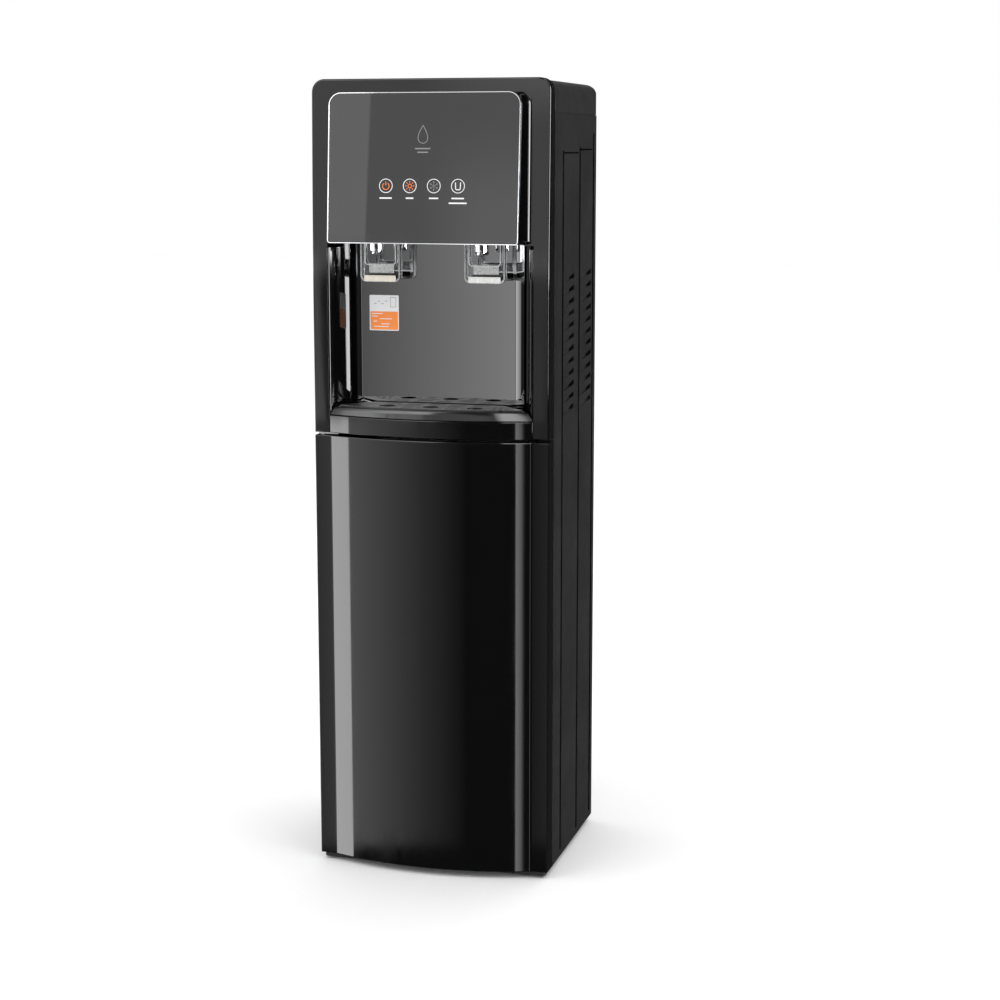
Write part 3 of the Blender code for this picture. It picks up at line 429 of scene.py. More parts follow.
def powder_coat(name, colour, roughness=0.45):
    """Painted sheet steel: orange peel, and a little dust in its sheen."""
    look = Look(name, colour, roughness).tint(0.10, 6.0)
    return look.rough(roughness * 0.85, roughness * 1.12, 24.0).relief(0.00003, 900.0, 2.0, 0.6)


def brushed(name, colour, roughness=0.28, stretch=(1.0, 1.0, 40.0)):
    """Metal brushed along one axis."""
    look = Look(name, colour, roughness, 1.0).tint(0.06, 300.0, 2.0, stretch)
    look.rough(roughness * 0.8, roughness * 1.3, 500.0, 3.0, stretch)
    return look.relief(0.000008, 1500.0, 2.0, stretch=stretch)


# Colour, roughness and grain of each moulded or printed look
PRINT_GRAIN = 0.00001
SATIN = {
    "satin_black": ((0.014, 0.014, 0.015),),
    "cap_black": ((0.026, 0.026, 0.027), 0.34),
    "rubber": ((0.020, 0.020, 0.020), 0.75, 0.00006),
    "white_plastic": ((0.74, 0.74, 0.72),),
    "cream_plastic": ((0.72, 0.67, 0.58),),
    "foam": ((0.70, 0.69, 0.62), 0.85, 0.0006),
    "silicone": ((0.72, 0.73, 0.70), 0.40),
    "circuit_board": ((0.015, 0.14, 0.06), 0.45),
    "print_white": ((0.80, 0.80, 0.80), 0.5, PRINT_GRAIN),
    "print_grey": ((0.22, 0.22, 0.22), 0.5, PRINT_GRAIN),
    "print_orange": ((0.85, 0.20, 0.03), 0.5, PRINT_GRAIN),
    "label_white": ((0.78, 0.79, 0.80), 0.45, PRINT_GRAIN),
    "label_grey": ((0.45, 0.43, 0.42), 0.45, PRINT_GRAIN),
    "label_orange": ((0.90, 0.26, 0.05), 0.45, PRINT_GRAIN),
    "band_blue": ((0.03, 0.12, 0.42), 0.45, PRINT_GRAIN),
    "band_green": ((0.05, 0.30, 0.12), 0.45, PRINT_GRAIN),
    "band_grey": ((0.18, 0.19, 0.20), 0.45, PRINT_GRAIN),
}
GLOSS = {
    "gloss_black": ((0.0025, 0.0025, 0.0028),),
    "gloss_black_lip": ((0.010, 0.010, 0.0105), 0.09),
    "display_glass": ((0.036, 0.036, 0.037), 0.008, 0.0000004),
    "red_plastic": ((0.45, 0.02, 0.015), 0.20),
    "green_plastic": ((0.02, 0.24, 0.06), 0.20),
}
OTHERS = [
    powder_coat("black_steel", (0.015, 0.015, 0.0155)),
    brushed("steel", (0.60, 0.60, 0.61)),
    brushed("copper", (0.80, 0.42, 0.28), 0.30, (8.0, 8.0, 1.0)),
    # Matte black with no sheen, for strips that paint the shade in the side panels' grooves
    Look("groove_shade_black", (0.0015, 0.0015, 0.0015), 0.9, Specular_IOR_Level=0.0)
    .tint(0.20, 200.0)
    .relief(0.00002, 600.0, 2.0),
    Look("splash_mirror", (0.33, 0.33, 0.335), 0.015, 1.0)
    .tint(0.04, 6.0)
    .rough(0.008, 0.03, 40.0, 6.0, (1.0, 1.0, 0.3))
    .relief(0.000002, 30.0, 1.0),
    Look("chrome", (0.88, 0.88, 0.90), 0.04, 1.0)
    .tint(0.03, 60.0)
    .rough(0.02, 0.08, 200.0)
    .relief(0.000004, 250.0, 2.0),
    Look("clear_plastic", (0.93, 0.95, 0.96), 0.03, Transmission_Weight=1.0, IOR=1.45)
    .rough(0.02, 0.07, 80.0)
    .relief(0.00001, 120.0, 1.0),
    # Whitish half-clear plastic for strips along the levers' edges: a painted highlight for the glints of the
    # clear edges
    Look("clear_edge_glint", (0.90, 0.91, 0.92), 0.25, Transmission_Weight=0.35, IOR=1.45)
    .tint(0.05, 200.0)
    .rough(0.18, 0.32, 300.0),
    Look("milky_plastic", (0.80, 0.81, 0.80), 0.30, Transmission_Weight=0.55, IOR=1.45)
    .tint(0.05, 120.0)
    .rough(0.24, 0.40, 300.0),
]
LOOKS = {look.name: look for look in OTHERS}
LOOKS.update({name: satin_plastic(name, *settings) for name, settings in SATIN.items()})
LOOKS.update({name: gloss_plastic(name, *settings) for name, settings in GLOSS.items()})

# The looks whose material slot in the record has another name than theirs
SLOTS = {
    "satin_black": ("cap_black", "groove_shade_black"),
    "gloss_black": ("gloss_black_lip",),
    "clear_plastic": ("clear_edge_glint",),
    "red_plastic": ("print_orange", "label_orange"),
    "white_plastic": (
        *("print_white", "print_grey", "cream_plastic", "label_white", "label_grey"),
        *("band_blue", "band_green", "band_grey"),
    ),
}
SLOT_OF = {look: slot for slot, looks in SLOTS.items() for look in looks}


def make(name, shape, look, *nodes, body="cabinet", **settings):
    """A piece in one of the looks, standing for the named CAD nodes."""
    piece(name, shape, LOOKS[look].material, body, nodes, SLOT_OF.get(look, look), **settings)


# --- Cabinet outside ---


def front_plan(inset, rear_y, fall=0.0):
    side, front = HALF_WIDTH - inset, CHEEK_Y + inset + fall
    return [(-side, rear_y), (-side, front), *bulge_arc(inset), (side, front), (side, rear_y)]


def door():
    low, high, rear_y = DOOR_LOW.z, DOOR_HIGH.z, DOOR_HIGH.y
    shell = prism(front_plan(0.0, rear_y, 0.0002), low, high)
    inside = prism(front_plan(WALL, rear_y + PAST), low + WALL, high - WALL)
    hinge = round_node("hinge_pin_bottom")[2]
    holes = [prism(circle(hinge, 0.0028, 24), z - 0.008, z + 0.008) for z in (low, high)]
    shell = cut(shell, inside, *holes)
    make("door_skin", shell, "gloss_black", "door_panel", body="door", edge=0.0011, segments=3)


def cover_solid(inset, bottom):
    """The cover's outside, or its inside at an inset that also reaches past its rear."""
    half, top = HALF_WIDTH - inset, HEIGHT - inset
    rear = COVER_HIGH.y + (PAST if inset else 0.0)
    side = [(CHEEK_Y + inset, bottom), (rear, bottom), (rear, top)]
    side += [(CHEEK_Y + LEAN + inset, top), (CHEEK_Y + inset, LEAN_START)]
    radius = COVER_RADIUS - inset
    face = rounded((-half, bottom), (half, top), (0.0, radius, radius, 0.0), 12)
    block = prism(face, CHEEK_Y - 2 * PAST, rear + PAST, "Y")
    return boolean(prism(side, -half, half, "X"), "INTERSECT", block)


def front_cover():
    """The cover over the upper half: open at the bottom in front, where the niche and tray sit."""
    opening_bottom, niche_top, module_x, module_top = 0.56, 0.8155, 0.122, 0.988
    outer = cover_solid(0.0, COVER_LOW.z)
    face_y = CHEEK_Y + LEAN + 0.001
    rims = [e for e in outer.edges if all(v.co.y < face_y for v in e.verts)]
    bevel(outer, [e for e in rims if e.calc_face_angle(0.0) > radians(60)], 0.0022, 4)
    opening = [(-CHEEK_X, opening_bottom), (CHEEK_X, opening_bottom), (CHEEK_X, niche_top)]
    opening += [(module_x, niche_top), (module_x, module_top)]
    opening += [(-x, z) for x, z in opening[:0:-1]]
    hole = prism(opening, CHEEK_Y - 2 * PAST, COVER_HIGH.y + 2 * PAST, "Y")
    shell = cut(outer, cover_solid(WALL, COVER_LOW.z + WALL), hole)
    make("cover_skin", shell, "gloss_black", "front_cover", edge=0.0003)


def niche_plan(offset, front_y, steps=20):
    """The niche in plan: its walls face forwards at the cheeks and turn to face each other."""
    half, power = 0.117, 1.4
    span = CHEEK_X - half
    sweep = LINER_HIGH.y - 0.002 - CHEEK_Y - WALL
    left = []
    for i in range(steps + 1):
        angle = radians(90 * i / steps)
        x = -CHEEK_X - offset + span * sin(angle) ** power
        left.append((x, LINER_LOW.y + (sweep - 0.0003 + offset) * (1 - cos(angle) ** power)))
    if front_y < left[0][1]:
        left.insert(0, (left[0][0], front_y))
    return left + [(-x, y) for x, y in reversed(left)]


def niche():
    mouth, low, high, sheet = LINER_LOW.y, LINER_LOW.z, LINER_HIGH.z, 0.002
    liner = prism(niche_plan(sheet, mouth), low, high)
    inside = prism(niche_plan(0.0, mouth - PAST), low - PAST, high - sheet)
    open_front = box((-0.2, mouth - PAST, high - 0.007), (0.2, LEVER_Y + 0.009, high + PAST))
    make("niche_skin", cut(liner, inside, open_front), "gloss_black", "niche_liner")


def splash():
    """A mirror sheet whose side edges curl forwards: side, flat half, radius and sweep of each."""
    face_y, sheet = SPLASH_LOW.y, SPLASH_HIGH.y - SPLASH_LOW.y
    lines = []
    for extra in (0.0, sheet):
        line = []
        for side, flat, radius, sweep in ((-1, 0.1060, 0.014, 28), (1, 0.0985, 0.026, 30)):
            curl = arc((flat, face_y - radius), radius + extra, 90, 90 - sweep, 12)
            line += [(side * x, y) for x, y in curl][::side]
        lines.append(line)
    shape = prism(lines[0] + lines[1][::-1], SPLASH_LOW.z, SPLASH_HIGH.z)
    make("splash_sheet", shape, "splash_mirror", "splash_panel")


def tray_plan(inset):
    """The tray in plan. Its sides are drawn in three times as far as its front and rear."""
    gap, rear_half, drawn = 0.0006, 0.101, 3 * inset
    front = [(x * (1 - (gap + drawn) / CHEEK_X), y) for x, y in bulge_arc(inset + gap)]
    rear_x, rear_y = rear_half - drawn, TRAY_HIGH.y - inset
    return [*front, (rear_x, rear_y), (-rear_x, rear_y)]


def shelf_plan(half, inset, rear):
    """The shelf under the tray in plan."""
    front = [(x * half / CHEEK_X, y) for x, y in bulge_arc(inset)]
    return [*front, (half, rear), (-half, rear)]


def tray():
    half, rear = CHEEK_X - 0.0003, FASCIA_HIGH.y
    low, high = FASCIA_LOW.z, FASCIA_HIGH.z
    hollow = prism(shelf_plan(half - WALL, WALL, rear + PAST), low - PAST, high - 0.0025)
    shell = cut(prism(shelf_plan(half, 0.0, rear), low, high), hollow)
    make("tray_shelf", shell, "gloss_black", "tray_fascia", edge=0.0008, segments=3)

    low, high = TRAY_LOW.z, TRAY_HIGH.z
    insets = (0.0006, 0.0, 0.0012, 0.0020, 0.0028)
    levels = (low, low + 0.0010, high - 0.0050, high - 0.0012, high)
    body = loft([level(tray_plan(inset), z) for inset, z in zip(insets, levels)])
    inside = prism(tray_plan(0.0036), low + 0.0012, high + PAST)
    make("tray_dish", cut(body, inside), "gloss_black_lip", "drip_tray", body="tray", edge=0.0003)


def grille():
    """A lid over the tray: three large holes with raised rims and rays, and slots between and beside."""
    low, high = GRILLE_LOW.z, GRILLE_HIGH.z
    plan, inner = tray_plan(0.0041), tray_plan(0.0050)
    body = loft([level(plan, low), level(plan, high - 0.0009), level(inner, high - 0.0003)])
    middle, rim = CHEEK_Y + 0.004, 0.0130
    holes = (-0.058, 0.0, 0.058)
    cutters = [prism(circle((x, middle), 0.0105, 40), low - PAST, high + PAST) for x in holes]

    def slot(x, y, half, width=0.0009):
        loop = rounded((x - half, y - width), (x + half, y + width), width * 0.95, 4)
        cutters.append(prism(loop, low - PAST, high + PAST))

    for side in (-1, 1):
        for row in range(5):
            for column in range(3 if row < 3 else 2):
                x = side * (0.0845 + column * 0.0082 - row * 0.0012)
                slot(x, middle - 0.0075 + row * 0.0066, 0.0029, 0.0011)
        for row in range(8):
            slot(side * 0.029, middle - 0.0160 + row * 0.0062, 0.0070 if row < 4 else 0.0110)
    for x in holes:
        for row in range(3):
            slot(x, middle + 0.0225 + row * 0.0060, 0.0105)
    make("grille_plate", cut(body, *cutters), "satin_black", "drip_grille", body="grille", edge=0.0002)
    foot, ray_z = high - 0.0010, high - 0.0006
    profile = [(0.0106, foot), (0.0106, high - 0.0001), (0.0116, high), (rim, high - 0.0002), (0.0134, foot)]
    ribs = []
    for x in holes:
        ribs.append(shifted(turned(profile, 48), (x, middle)))
        for angle, reach in ((30, 0.0205), (90, 0.0205), (150, 0.0205), (210, 0.0185), (330, 0.0185)):
            ends = [(*polar((x, middle), radius, angle), ray_z) for radius in (rim, reach)]
            ribs.append(bar(ends, 0.0006))
    make("grille_ribs", merged(*ribs), "satin_black", body="grille")


LOUVRE_STARTS = (CHEEK_Y + 0.081, CHEEK_Y + 0.179)
LOUVRE_LENGTH = 0.052
LOUVRE_FIRST, LOUVRE_PITCH, LOUVRE_COUNT = 0.596, 0.0154, 12
SEAM_DEPTH, SEAM_HALF, SEAM_BOTTOM = 0.0009, 0.0037, 0.018


def recess(outer, side, low, high, radius):
    """A cutter for a shallow groove in a side panel's outer face."""
    loop = rounded(low, high, radius)
    depths = (outer + side * 0.001, outer, outer - side * SEAM_DEPTH)
    return loft([[(x, y, z) for y, z in loop] for x in depths])


def louvre_hole(y, z):
    """A pressed louvre's outline: narrow at the front end, taller at the back, and rising."""
    rear = y + LOUVRE_LENGTH
    return [(y, z + 0.0010), (rear, z + 0.0045), (rear, z + 0.0112), (y, z + 0.0028)]


def louvre_ramp(outer, side, y, z):
    """The tongue behind a louvre, which slopes inwards and leaves its back end open."""
    thick, start, end, open_length = 0.0008, 0.0010, 0.0042, 0.010
    y0, y1 = y - 0.0015, y + LOUVRE_LENGTH - open_length
    corners = ((y0, z + 0.0002, start), (y1, z + 0.0020, end), (y1, z + 0.0110, end), (y0, z + 0.0038, start))
    return loft([[(outer - side * (rise + depth), a, b) for a, b, rise in corners] for depth in (0.0, thick)])


def side_panels():
    """Folded steel sheets with grooves round two long fields, each with a column of louvres; matte black
    strips in the grooves paint their shade.
    """
    sheet, fold = 0.001, 0.018
    for name, side in (("left", -1), ("right", 1)):
        low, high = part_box(f"side_panel_{name}")
        front, rear = low.y, high.y
        outer, tip = side * HALF_WIDTH, side * (HALF_WIDTH - fold)
        inner = outer - side * sheet
        outline = [(outer, front), (outer, rear), (tip, rear), (tip, rear - sheet)]
        outline += [(inner, rear - sheet), (inner, front + sheet), (tip, front + sheet), (tip, front)]
        shape = prism(outline, low.z, high.z)
        cutters, ramps = [], []
        for y in LOUVRE_STARTS:
            for i in range(LOUVRE_COUNT):
                z = LOUVRE_FIRST + i * LOUVRE_PITCH
                cutters.append(prism(louvre_hole(y, z), outer - 0.005, outer + 0.005, "X"))
                ramps.append(louvre_ramp(outer, side, y, z))
        # Strips of matte black inside the grooves: painted shade that makes them read as dark lines
        groove_shade_strips = []
        strip_low, strip_high = sorted((outer - side * 0.00085, outer - side * 0.00015))
        for middle, top in ((0.0715, 0.932), (0.1625, 0.936), (0.2405, 0.955)):
            y, half = CHEEK_Y + middle, SEAM_HALF - 0.0001
            cutters.append(recess(outer, side, (y - SEAM_HALF, SEAM_BOTTOM), (y + SEAM_HALF, top), 0.0012))
            low_end = (strip_low, y - half, SEAM_BOTTOM + 0.0005)
            groove_shade_strips.append(box(low_end, (strip_high, y + half, top - 0.0005)))
        for start, end, top in ((0.0754, 0.1540, 0.930), (0.1664, 0.2330, 0.934)):
            start, end = CHEEK_Y + start, CHEEK_Y + end
            cutters.append(recess(outer, side, (start, top - 0.0022), (end, top), 0.0010))
            groove_shade_strips.append(box((strip_low, start, top - 0.0021), (strip_high, end, top - 0.0001)))
        make(f"side_seams_{name}", merged(*groove_shade_strips), "groove_shade_black")
        panel = merged(cut(shape, *cutters), *ramps)
        make(f"side_sheet_{name}", panel, "black_steel", f"side_panel_{name}")


def top_cap():
    """The lid behind the front cover: rounded over at its sides, with a longer fall at the back."""
    half, front, rear = HALF_WIDTH, CAP_LOW.y, CAP_HIGH.y
    low, high = CAP_LOW.z, CAP_HIGH.z
    side_fall, rear_fall, drop, radius, steps = 0.009, 0.026, 0.011, 0.0035, 10

    def rings(inset, bottom):
        made = []
        for i in range(-1, steps + 1):
            angle = radians(90 * max(0, i) / steps)
            fall = 1 - cos(angle)
            z = bottom if i < 0 else high - inset - drop + drop * sin(angle)
            corner = radius + 0.004 * sin(angle) - inset * 0.5
            across = half - inset - side_fall * fall
            near, far = (-across, front - 4 * inset), (across, rear - inset - rear_fall * fall)
            made.append(level(rounded(near, far, (0.0, corner, corner, 0.0)), z))
        return made

    body = cut(loft(rings(0.0, low)), loft(rings(0.0025, low - PAST)))
    make("cap_moulding", body, "cap_black", "top_cap", edge=0.0004)


def base():
    low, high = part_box("plinth")
    outline = rounded((low.x, low.y), (high.x, high.y), 0.003, 6)
    make("plinth_block", prism(outline, low.z, high.z, edge=0.0008), "satin_black", "plinth")
    for end in ("front", "rear"):
        for side in ("left", "right"):
            name = f"foot_{end}_{side}"
            low, high, centre, radius = round_node(name)
            profile = [(0.0, low.z), (radius - 0.001, low.z), (radius, low.z + 0.0008)]
            profile += [(radius - 0.0012, high.z), (0.0, high.z)]
            make(f"{name}_pad", shifted(turned(profile, 48), centre), "rubber", name)


# --- Control module ---


def module_outline(inset, top=MODULE_SLOPE, bottom=0.0):
    """The module from the front, with its two top corners rounder."""
    half, radius = MODULE_HALF - inset, MODULE_RADIUS - inset
    low_radius = max(0.0008, 0.004 - inset)
    radii = (low_radius, radius, radius, low_radius)
    return rounded((-half, bottom + inset), (half, top - inset), radii, 12)


def module_walls(inset):
    """Rings from the display back to the front cover, flaring slightly and ending in a fillet."""
    front_gap, rear_gap, fillet = 0.0038, 0.0003, 0.0045
    flares = [(0.0, 0.0), (0.25, 0.0), (0.5, 0.0010), (0.75, 0.0024), (1.0, 0.0045)]
    turns = [radians(9 * i) for i in range(11)]
    steps = [("wall", along, flare) for along, flare in flares]
    steps += [("foot", sin(a), 1 - cos(a)) for a in turns[1:]]
    rings = []
    for part, along, flare in steps:
        ring = []
        for x, z in module_outline(inset, MODULE_TOP, MODULE_BOTTOM):
            start = FRONT_Y + (z - MODULE_BOTTOM) * MODULE_LEAN / MODULE_HEIGHT + front_gap
            end = cover_front_y(z) - rear_gap
            if part == "wall":
                y, out = start + (end - fillet - start) * along, flare
            else:
                y, out = end - fillet * (1 - along), flares[-1][1] + fillet * flare
            ring.append((x + math.copysign(out, x), y, z))
        rings.append(ring)
    return rings


def module():
    """The housing, the bright rim round its face, and the display in the rim."""
    walls = loft([*module_walls(0.0), *module_walls(0.0025)[::-1]], closed=True)
    spouts = [round_node(name)[2] for name in ("spout_hot", "spout_cold")]
    span = (MODULE_BOTTOM - PAST, MODULE_BOTTOM + PAST)
    holes = [prism(circle(centre, 0.0095), *span) for centre in spouts]
    make("module_shell", cut(walls, *holes), "gloss_black", "module_housing")
    depth, inner = 0.0034, 0.0014
    section = ((0.0, depth), (0.0, 0.0004), (0.0003, 0.0), (0.0012, 0.0), (inner, 0.0003), (inner, depth))
    rim = loft([[(x, y, z) for x, z in module_outline(inset)] for inset, y in section], closed=True)
    make("module_rim", rim, "chrome", "module_trim", place=MODULE_PLACE)
    glass = prism(module_outline(0.0016), 0.0003, 0.0030, "Y")
    make("display_plate", glass, "display_glass", "display_panel", place=MODULE_PLACE, edge=0.0003)


ICON_X = (-0.047, -0.016, 0.015, 0.046)
ICON_UP = 0.889 - MODULE_BOTTOM
DROP_UP = 0.952 - MODULE_BOTTOM
PRINT_FACE = 0.00025
PRINT_REAR = 0.00045


def ring_mark(centre, radius, width, steps=48):
    outer, inner = circle(centre, radius, steps), circle(centre, radius - width, steps)
    loops = ((outer, PRINT_REAR), (outer, PRINT_FACE), (inner, PRINT_FACE), (inner, PRINT_REAR))
    return loft([[(a, y, b) for a, b in loop] for loop, y in loops], closed=True)


def bar_mark(x, up, length, half):
    """A short printed bar, centred on a point."""
    loop = rounded((x - length / 2, up - half), (x + length / 2, up + half), 0.0003, 3)
    return prism(loop, PRINT_FACE, PRINT_REAR, "Y")


def stroke(points, width):
    """A flat line of even width through points, printed on the display."""
    left, right = [], []
    for point, along in headings(points):
        across = Vector((-along.y, along.x)) * width / 2
        left.append(tuple(point + across))
        right.append(tuple(point - across))
    return prism(left + right[::-1], PRINT_FACE, PRINT_REAR, "Y")


def display_marks():
    """Four round icons over short bars, and a drop over two bars: power, heat, cold and cup."""
    power, heat, cold, cup = [(x, ICON_UP) for x in ICON_X]
    white = [ring_mark((x, ICON_UP), 0.0088, 0.0009) for x in ICON_X]
    orange, grey = [], []
    x = power[0]
    orange.append(stroke(arc((x, ICON_UP - 0.0004), 0.0042, 125, 415, 30), 0.0010))
    orange.append(stroke([(x, ICON_UP + 0.0008), (x, ICON_UP + 0.0054)], 0.0010))
    orange.append(ring_mark(heat, 0.0028, 0.0010, 32))
    for angle in range(0, 360, 45):
        orange.append(stroke([polar(heat, radius, angle) for radius in (0.0039, 0.0062)], 0.0009))
    for angle in range(30, 390, 60):
        grey.append(stroke([polar(cold, radius, angle) for radius in (0.0006, 0.0060)], 0.0006))
        root = polar(cold, 0.0038, angle)
        for turn in (-50, 50):
            grey.append(stroke([root, polar(root, 0.0018, angle + turn)], 0.0005))
    x = cup[0]
    wall = [(x - 0.0033, ICON_UP + 0.0045), (x - 0.0029, ICON_UP - 0.0036), (x - 0.0020, ICON_UP - 0.0044)]
    wall += [(2 * x - a, b) for a, b in reversed(wall)]
    white.append(stroke(wall, 0.0012))
    for x, rows in zip(ICON_X, ((0.016,), (0.010,), (0.012,), (0.016, 0.023))):
        for row, length in enumerate(rows):
            white.append(bar_mark(x, ICON_UP - 0.0150 - row * 0.0058, length, 0.0009))
    drop = []
    for i in range(41):
        a = 2 * pi * i / 40
        drop.append((0.0085 * sin(a) * sin(a / 2) ** 1.3, DROP_UP + 0.011 * cos(a)))
    grey.append(stroke(drop, 0.0009))
    for row, length in enumerate((0.020, 0.014)):
        grey.append(bar_mark(0.0, DROP_UP - 0.0175 - row * 0.0045, length, 0.0008))
    for part, marks, look in (
        ("rings", white, "print_white"),
        ("hot_marks", orange, "print_orange"),
        ("dim_marks", grey, "print_grey"),
    ):
        make(f"display_{part}", merged(*marks), look, place=MODULE_PLACE)


STICKER_LOW, STICKER_HIGH = (-0.0955, 0.703), (-0.0560, 0.7485)


def sticker():
    """A plain two-tone care label on the splash panel, with bars in place of any words."""
    face = SPLASH_LOW.y - 0.0001
    left, bottom = STICKER_LOW
    width, height = STICKER_HIGH[0] - left, STICKER_HIGH[1] - bottom
    border, paper, print_up, lines_up = 0.0012, 0.00015, 0.00030, 0.00045

    def layer(low, high, up, radius=0.0002):
        radius = min(radius, 0.45 * (high[1] - low[1]))
        loop = rounded((left + low[0], bottom + low[1]), (left + high[0], bottom + high[1]), radius, 4)
        return prism(loop, face - up, face - up + 0.00012, "Y")

    make("label_sheet", layer((0, 0), (width, height), paper, 0.0012), "label_white")
    make("label_band", layer((border, border), (width - border, 0.0245), print_up, 0.0004), "label_orange")
    lines = []
    rows = ((0.003, 0.016), (0.003, 0.009), (0.014, 0.018), (0.005, 0.006), (0.016, 0.012), (0.006, 0.022))
    for row, (start, length) in enumerate(rows):
        up = 0.0212 - row * 0.0033
        lines.append(layer((start, up), (start + 0.9 * length, up + 0.0010), lines_up))
    make("label_lines", merged(*lines), "label_white")
    line, x0, x1, z0, z1 = 0.0008, 0.028, 0.036, 0.030, 0.043
    spots = [((x0, z0), (x0 + line, z1)), ((x1 - line, z0), (x1, z1))]
    spots += [((x0, z), (x1, z + line)) for z in (z0, z1 - line)]
    for i in range(4):
        x, z = 0.006 + i * 0.005, 0.034 + (i % 2) * 0.003
        spots.append(((x, z), (x + 0.0032, z + 0.0012)))
    make("label_marks", merged(*(layer(low, high, print_up) for low, high in spots)), "label_grey")


# --- Taps ---


def taps():
    for name, x, pad_look in (("hot", -TAP_X, "cream_plastic"), ("cold", TAP_X, "white_plastic")):
        low, high, centre, radius = round_node(f"spout_{name}")
        bore = 0.0040
        outside = ((0.0, 0.0062), (0.0004, 0.0058), (0.0004, 0.0052), (0.0, 0.0048), (0.0, 0.0012))
        outside += ((0.0004, 0.0004), (0.0012, 0.0))
        profile = [(bore, high.z), (radius, high.z)]
        profile += [(radius - inset, low.z + up) for inset, up in outside]
        profile += [(0.0064, low.z), (0.0058, low.z + 0.0012), (bore, low.z + 0.0022)]
        tube = shifted(turned(profile), centre)
        make(f"spout_{name}_tube", tube, "chrome", f"spout_{name}")
        lever(name, x, pad_look)


def u_path(x, half, bottom, top, radius, steps=8):
    """A U from one top end down round its two corners and up again, drawn in (x, z)."""
    left = arc((x - half + radius, bottom + radius), radius, 180, 270, steps)
    right = arc((x + half - radius, bottom + radius), radius, 270, 360, steps)
    return [(x - half, top), *left, *right, (x + half, top)]


def u_wall(x, half, bottom, top, radius, thick, front, rear):
    """A U-shaped wall of even thickness, as deep as from front to rear."""
    outer = u_path(x, half, bottom, top, radius)
    inner = u_path(x, half - thick, bottom + thick, top, radius - thick)
    return prism(outer + inner[::-1], front, rear, "Y")


def lever(name, x, pad_look):
    """A clear tub hung on its pin: an outer and an inner U, a paddle behind and a grip in front."""
    body = f"{name}_lever"
    half, bottom, top, edge_top = 0.026, 0.768, PIVOT_Z - 0.004, 0.8190
    inner_half, inner_bottom = 0.0208, 0.7890
    front, rear = LEVER_Y - 0.0065, LEVER_Y + 0.0035
    walls = [
        u_wall(x, half, bottom, top, 0.0075, 0.0017, front, rear),
        u_wall(x, inner_half, inner_bottom, edge_top, 0.0045, 0.0016, front + 0.0007, rear - 0.0010),
    ]
    web_outline = rounded((x - 0.0240, bottom + 0.0020), (x + 0.0240, inner_bottom - 0.0005), 0.0040)
    web = prism(web_outline, rear - 0.0011, rear - 0.0001, "Y")
    make(f"lever_{name}_tub", merged(*walls, web), "clear_plastic", f"lever_{name}", body=body, edge=0.00025)
    ears = []
    bore, rim, thick = 0.0018, 0.0042, 0.0040
    for side in (-1, 1):
        start = x + side * (half - 0.0020) - thick / 2
        place = Matrix.Translation((start, LEVER_Y, PIVOT_Z)) @ Matrix.Rotation(radians(90), 4, "Y")
        ears.append(moved(turned([(bore, 0.0), (bore, thick), (rim, thick), (rim, 0.0)], 32), place))
    make(f"lever_{name}_ears", merged(*ears), "clear_plastic", body=body)
    # The strips below sit along the tub's front edges as painted highlights for the glints of its clear edges
    lip = 0.0001
    edges = [
        u_wall(x, half + lip, bottom - lip, edge_top, 0.0076, 0.0005, front - 0.0002, front + 0.0005),
        u_wall(x, half - 0.0013, bottom + 0.0013, edge_top, 0.0062, 0.0004, front - lip, front + 0.0004),
    ]
    inner_size = (inner_half + lip, inner_bottom - lip, edge_top, 0.0046, 0.0011)
    edges.append(u_wall(x, *inner_size, front + 0.0003, front + 0.0009))
    make(f"lever_{name}_edges", merged(*edges), "clear_edge_glint", body=body)

    grip_y = front - 0.0020
    rib_ys, rib_zs = (grip_y - 0.0004, grip_y + 0.0004), (bottom + 0.0014, bottom + 0.0072)
    grip = [slab(x, 0.0210, (grip_y, front - 0.0003), (bottom + 0.0004, bottom + 0.0082), 0.0008)]
    grip += [slab(x - 0.0175 + i * 0.0043, 0.0011, rib_ys, rib_zs, 0.0003) for i in range(9)]
    make(f"lever_{name}_grip", merged(*grip), pad_look, f"lever_pad_{name}", body=body)
    rib_ys, rib_zs = (front + 0.0004, front + 0.0012), (0.7797, 0.7898)
    paddle = [slab(x + 0.0015, 0.0165, (front + 0.0010, front + 0.0026), (0.7790, 0.7905), 0.0007)]
    paddle += [slab(x - 0.0126 + i * 0.0045, 0.0009, rib_ys, rib_zs, 0.0003) for i in range(7)]
    make(f"lever_{name}_paddle", merged(*paddle), "milky_plastic", body=body)
    stop = slab(x, 0.0205, (rear + 0.0001, rear + 0.0014), (0.7718, 0.7778), 0.0005)
    make(f"lever_{name}_stop", stop, "satin_black", body=body)


# --- Behind the door ---

CARTRIDGE_BANDS = {"sediment": "band_blue", "carbon": "band_green", "membrane": "band_grey"}
# How far in from the widest radius, and how far below the top or above the bottom
CARTRIDGE_SHOULDER = (
    *((0.0100, 0.0140), (0.0040, 0.0170), (0.0010, 0.0220), (0.0002, 0.0260), (0.0002, 0.0540)),
    *((0.0012, 0.0548), (0.0012, 0.0572), (0.0002, 0.0580)),
)
CARTRIDGE_FOOT = ((0.0002, 0.0060), (0.0018, 0.0020), (0.0060, 0.0))


